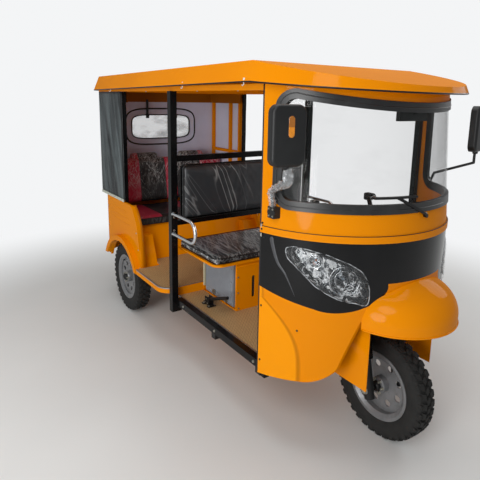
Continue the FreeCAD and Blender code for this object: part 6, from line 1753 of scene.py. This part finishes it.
REFLECTOR = stadium(0.026, 0.082, 0.0128)
glass_mesh, reflector_mesh, rim_mesh, clamp_mesh = (bmesh.new() for n in range(4))
clamp_screws = []
for side in (-1, 1):
    head_plate(glass_mesh, side, stadium(0.134, 0.226, 0.028), 0.0006, -0.0014, 0.006)
    head_plate(reflector_mesh, side, REFLECTOR, 0.0410, 0.0446, 0.10, (0.006, 0.036))
    add_tube(rim_mesh, [on_head(0.0422, 0.006 + x * 1.06, 0.036 + z * 1.03, side) for x, z in REFLECTOR],
             0.0014, 6, closed=True)
    add_tube(rim_mesh, [on_head(0.0006, x, z, side) for x, z in stadium(0.140, 0.232, 0.031)], 0.0026, 6,
             closed=True)
    add_cylinder(rim_mesh, on_head(0.017, 0, -0.132, side), on_head(0.017, 0, -0.116, side), 0.0125, 20, 0.0160)
    clamp_screws += [((x, side * 0.5632, z), (0, side, 0)) for z in (1.149, 1.181) for x in (0.902, 0.928)]
    add_box(clamp_mesh, (0.888, side * 0.5635, 1.158), (0.942, side * 0.5500, 1.172), 0.002)
mesh_piece("mirror_glasses", glass_mesh, silvered, smooth=False)
mesh_piece("mirror_reflectors", reflector_mesh, amber_lens, smooth=False)
mesh_piece("mirror_rims", rim_mesh, head_plastic)
mesh_piece("mirror_clamp_bands", clamp_mesh, head_plastic, smooth=False)
bolts("mirror_clamp_screws", clamp_screws, bright, 0.0034, 0.0026, 12)
sleeve_film = Finish("stalk_film", "E9EDF0", Roughness=0.12, Specular_IOR_Level=0.9, Coat_Weight=0.5)
film_look(sleeve_film, 60, 1.2, 0.16, 0.9)
stalk = smooth_route([(0.9155, -0.553, 1.198), (0.925, -0.567, 1.228), (0.935, -0.5802, 1.265),
                      (0.990, -0.603, 1.288), (1.060, -0.629, 1.315), (1.1155, -0.648, 1.336),
                      (1.1198, -0.650, 1.362), (1.1198, -0.650, 1.396)], 9)
rows = []
for angle in full_turn(28):
    row = []
    for step, (point, ahead) in enumerate(zip(stalk, ways(stalk))):
        one = ahead.cross(Vector((0.829, -0.56, 0))).normalized()
        two = ahead.cross(one)
        part = step / (len(stalk) - 1)
        way = one * cos(angle) + two * sin(angle)
        wrinkle = abs(noise.noise(Vector((cos(angle) * 2.2, sin(angle) * 2.2, step * 0.42)))) + 0.5 * abs(
            noise.noise(Vector((cos(angle) * 5, sin(angle) * 5, step * 0.9))))
        flare = 0.016 * max(0, cos(angle - 0.6)) * exp(-((part - 0.80) / 0.20) ** 2)
        row.append(point + way * (0.0105 + 0.011 * wrinkle + flare))
    rows.append(row)
sleeve, area = cloth_wall("stalk_sleeve", sleeve_film, rows, 0.0006, closed=True)
long = sum((b - a).length for a, b in zip(stalk, stalk[1:])) * 1.15
max(0.115, area / long * 1.25)


# Dashboard and inner mirror: grained black moulding, a round dial under a hood, rocker switches with
# blank caps, and a silvered inner mirror.
dash_plastic = Finish("dash_moulding", "1B1C1D", Roughness=0.6, Specular_IOR_Level=0.35)
grain = dash_plastic.cells(620)
dash_plastic.wear(Base_Color=dash_plastic.mix(dash_plastic.patches(0.45, 6, 4), "191A1B", "2B2C2C"))
dash_plastic.relief(grain, 0.0003, 0.5)
coat_node(dash_plastic, "dashboard", "interior_mirror")
dial_mesh, face_mesh, key_mesh = bmesh.new(), bmesh.new(), bmesh.new()
DIAL = Vector((1.102, 0.0, 1.138))
REAR_WAY = Vector((-cos(radians(28)), 0, sin(radians(28))))
add_box(dial_mesh, (1.086, -0.062, 1.1185), (1.130, 0.062, 1.128), 0.004)
add_cylinder(dial_mesh, DIAL - REAR_WAY * 0.020, DIAL + REAR_WAY * 0.006, 0.040, 40, 0.043)
up_way = REAR_WAY.cross(side_way).normalized()
add_tube(face_mesh, ring(DIAL + REAR_WAY * 0.006, side_way, up_way, 0.0405, 48), 0.0022, 8, closed=True)
add_cylinder(face_mesh, DIAL + REAR_WAY * 0.0055, DIAL + REAR_WAY * 0.0066, 0.0385, 40)
for y in (-0.175, -0.201, -0.227, 0.175, 0.201, 0.227):
    add_box(key_mesh, (1.0725, y - 0.0095, 1.064), (1.0800, y + 0.0095, 1.096), 0.0022)
mesh_piece("dash_dial_hood", dial_mesh, dash_plastic, smooth=False)
mesh_piece("dash_dial_glass", face_mesh, band_gloss, smooth=False)
mesh_piece("dash_rockers", key_mesh, front_vinyl, smooth=False)
inner_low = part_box("interior_mirror")[0]
pane = ((inner_low.x - 0.0014, -0.088, 1.5785), (inner_low.x + 0.0006, 0.088, 1.6215), 0.0006)
mesh_piece("inner_mirror_glass", boxes(pane), silvered, smooth=False)
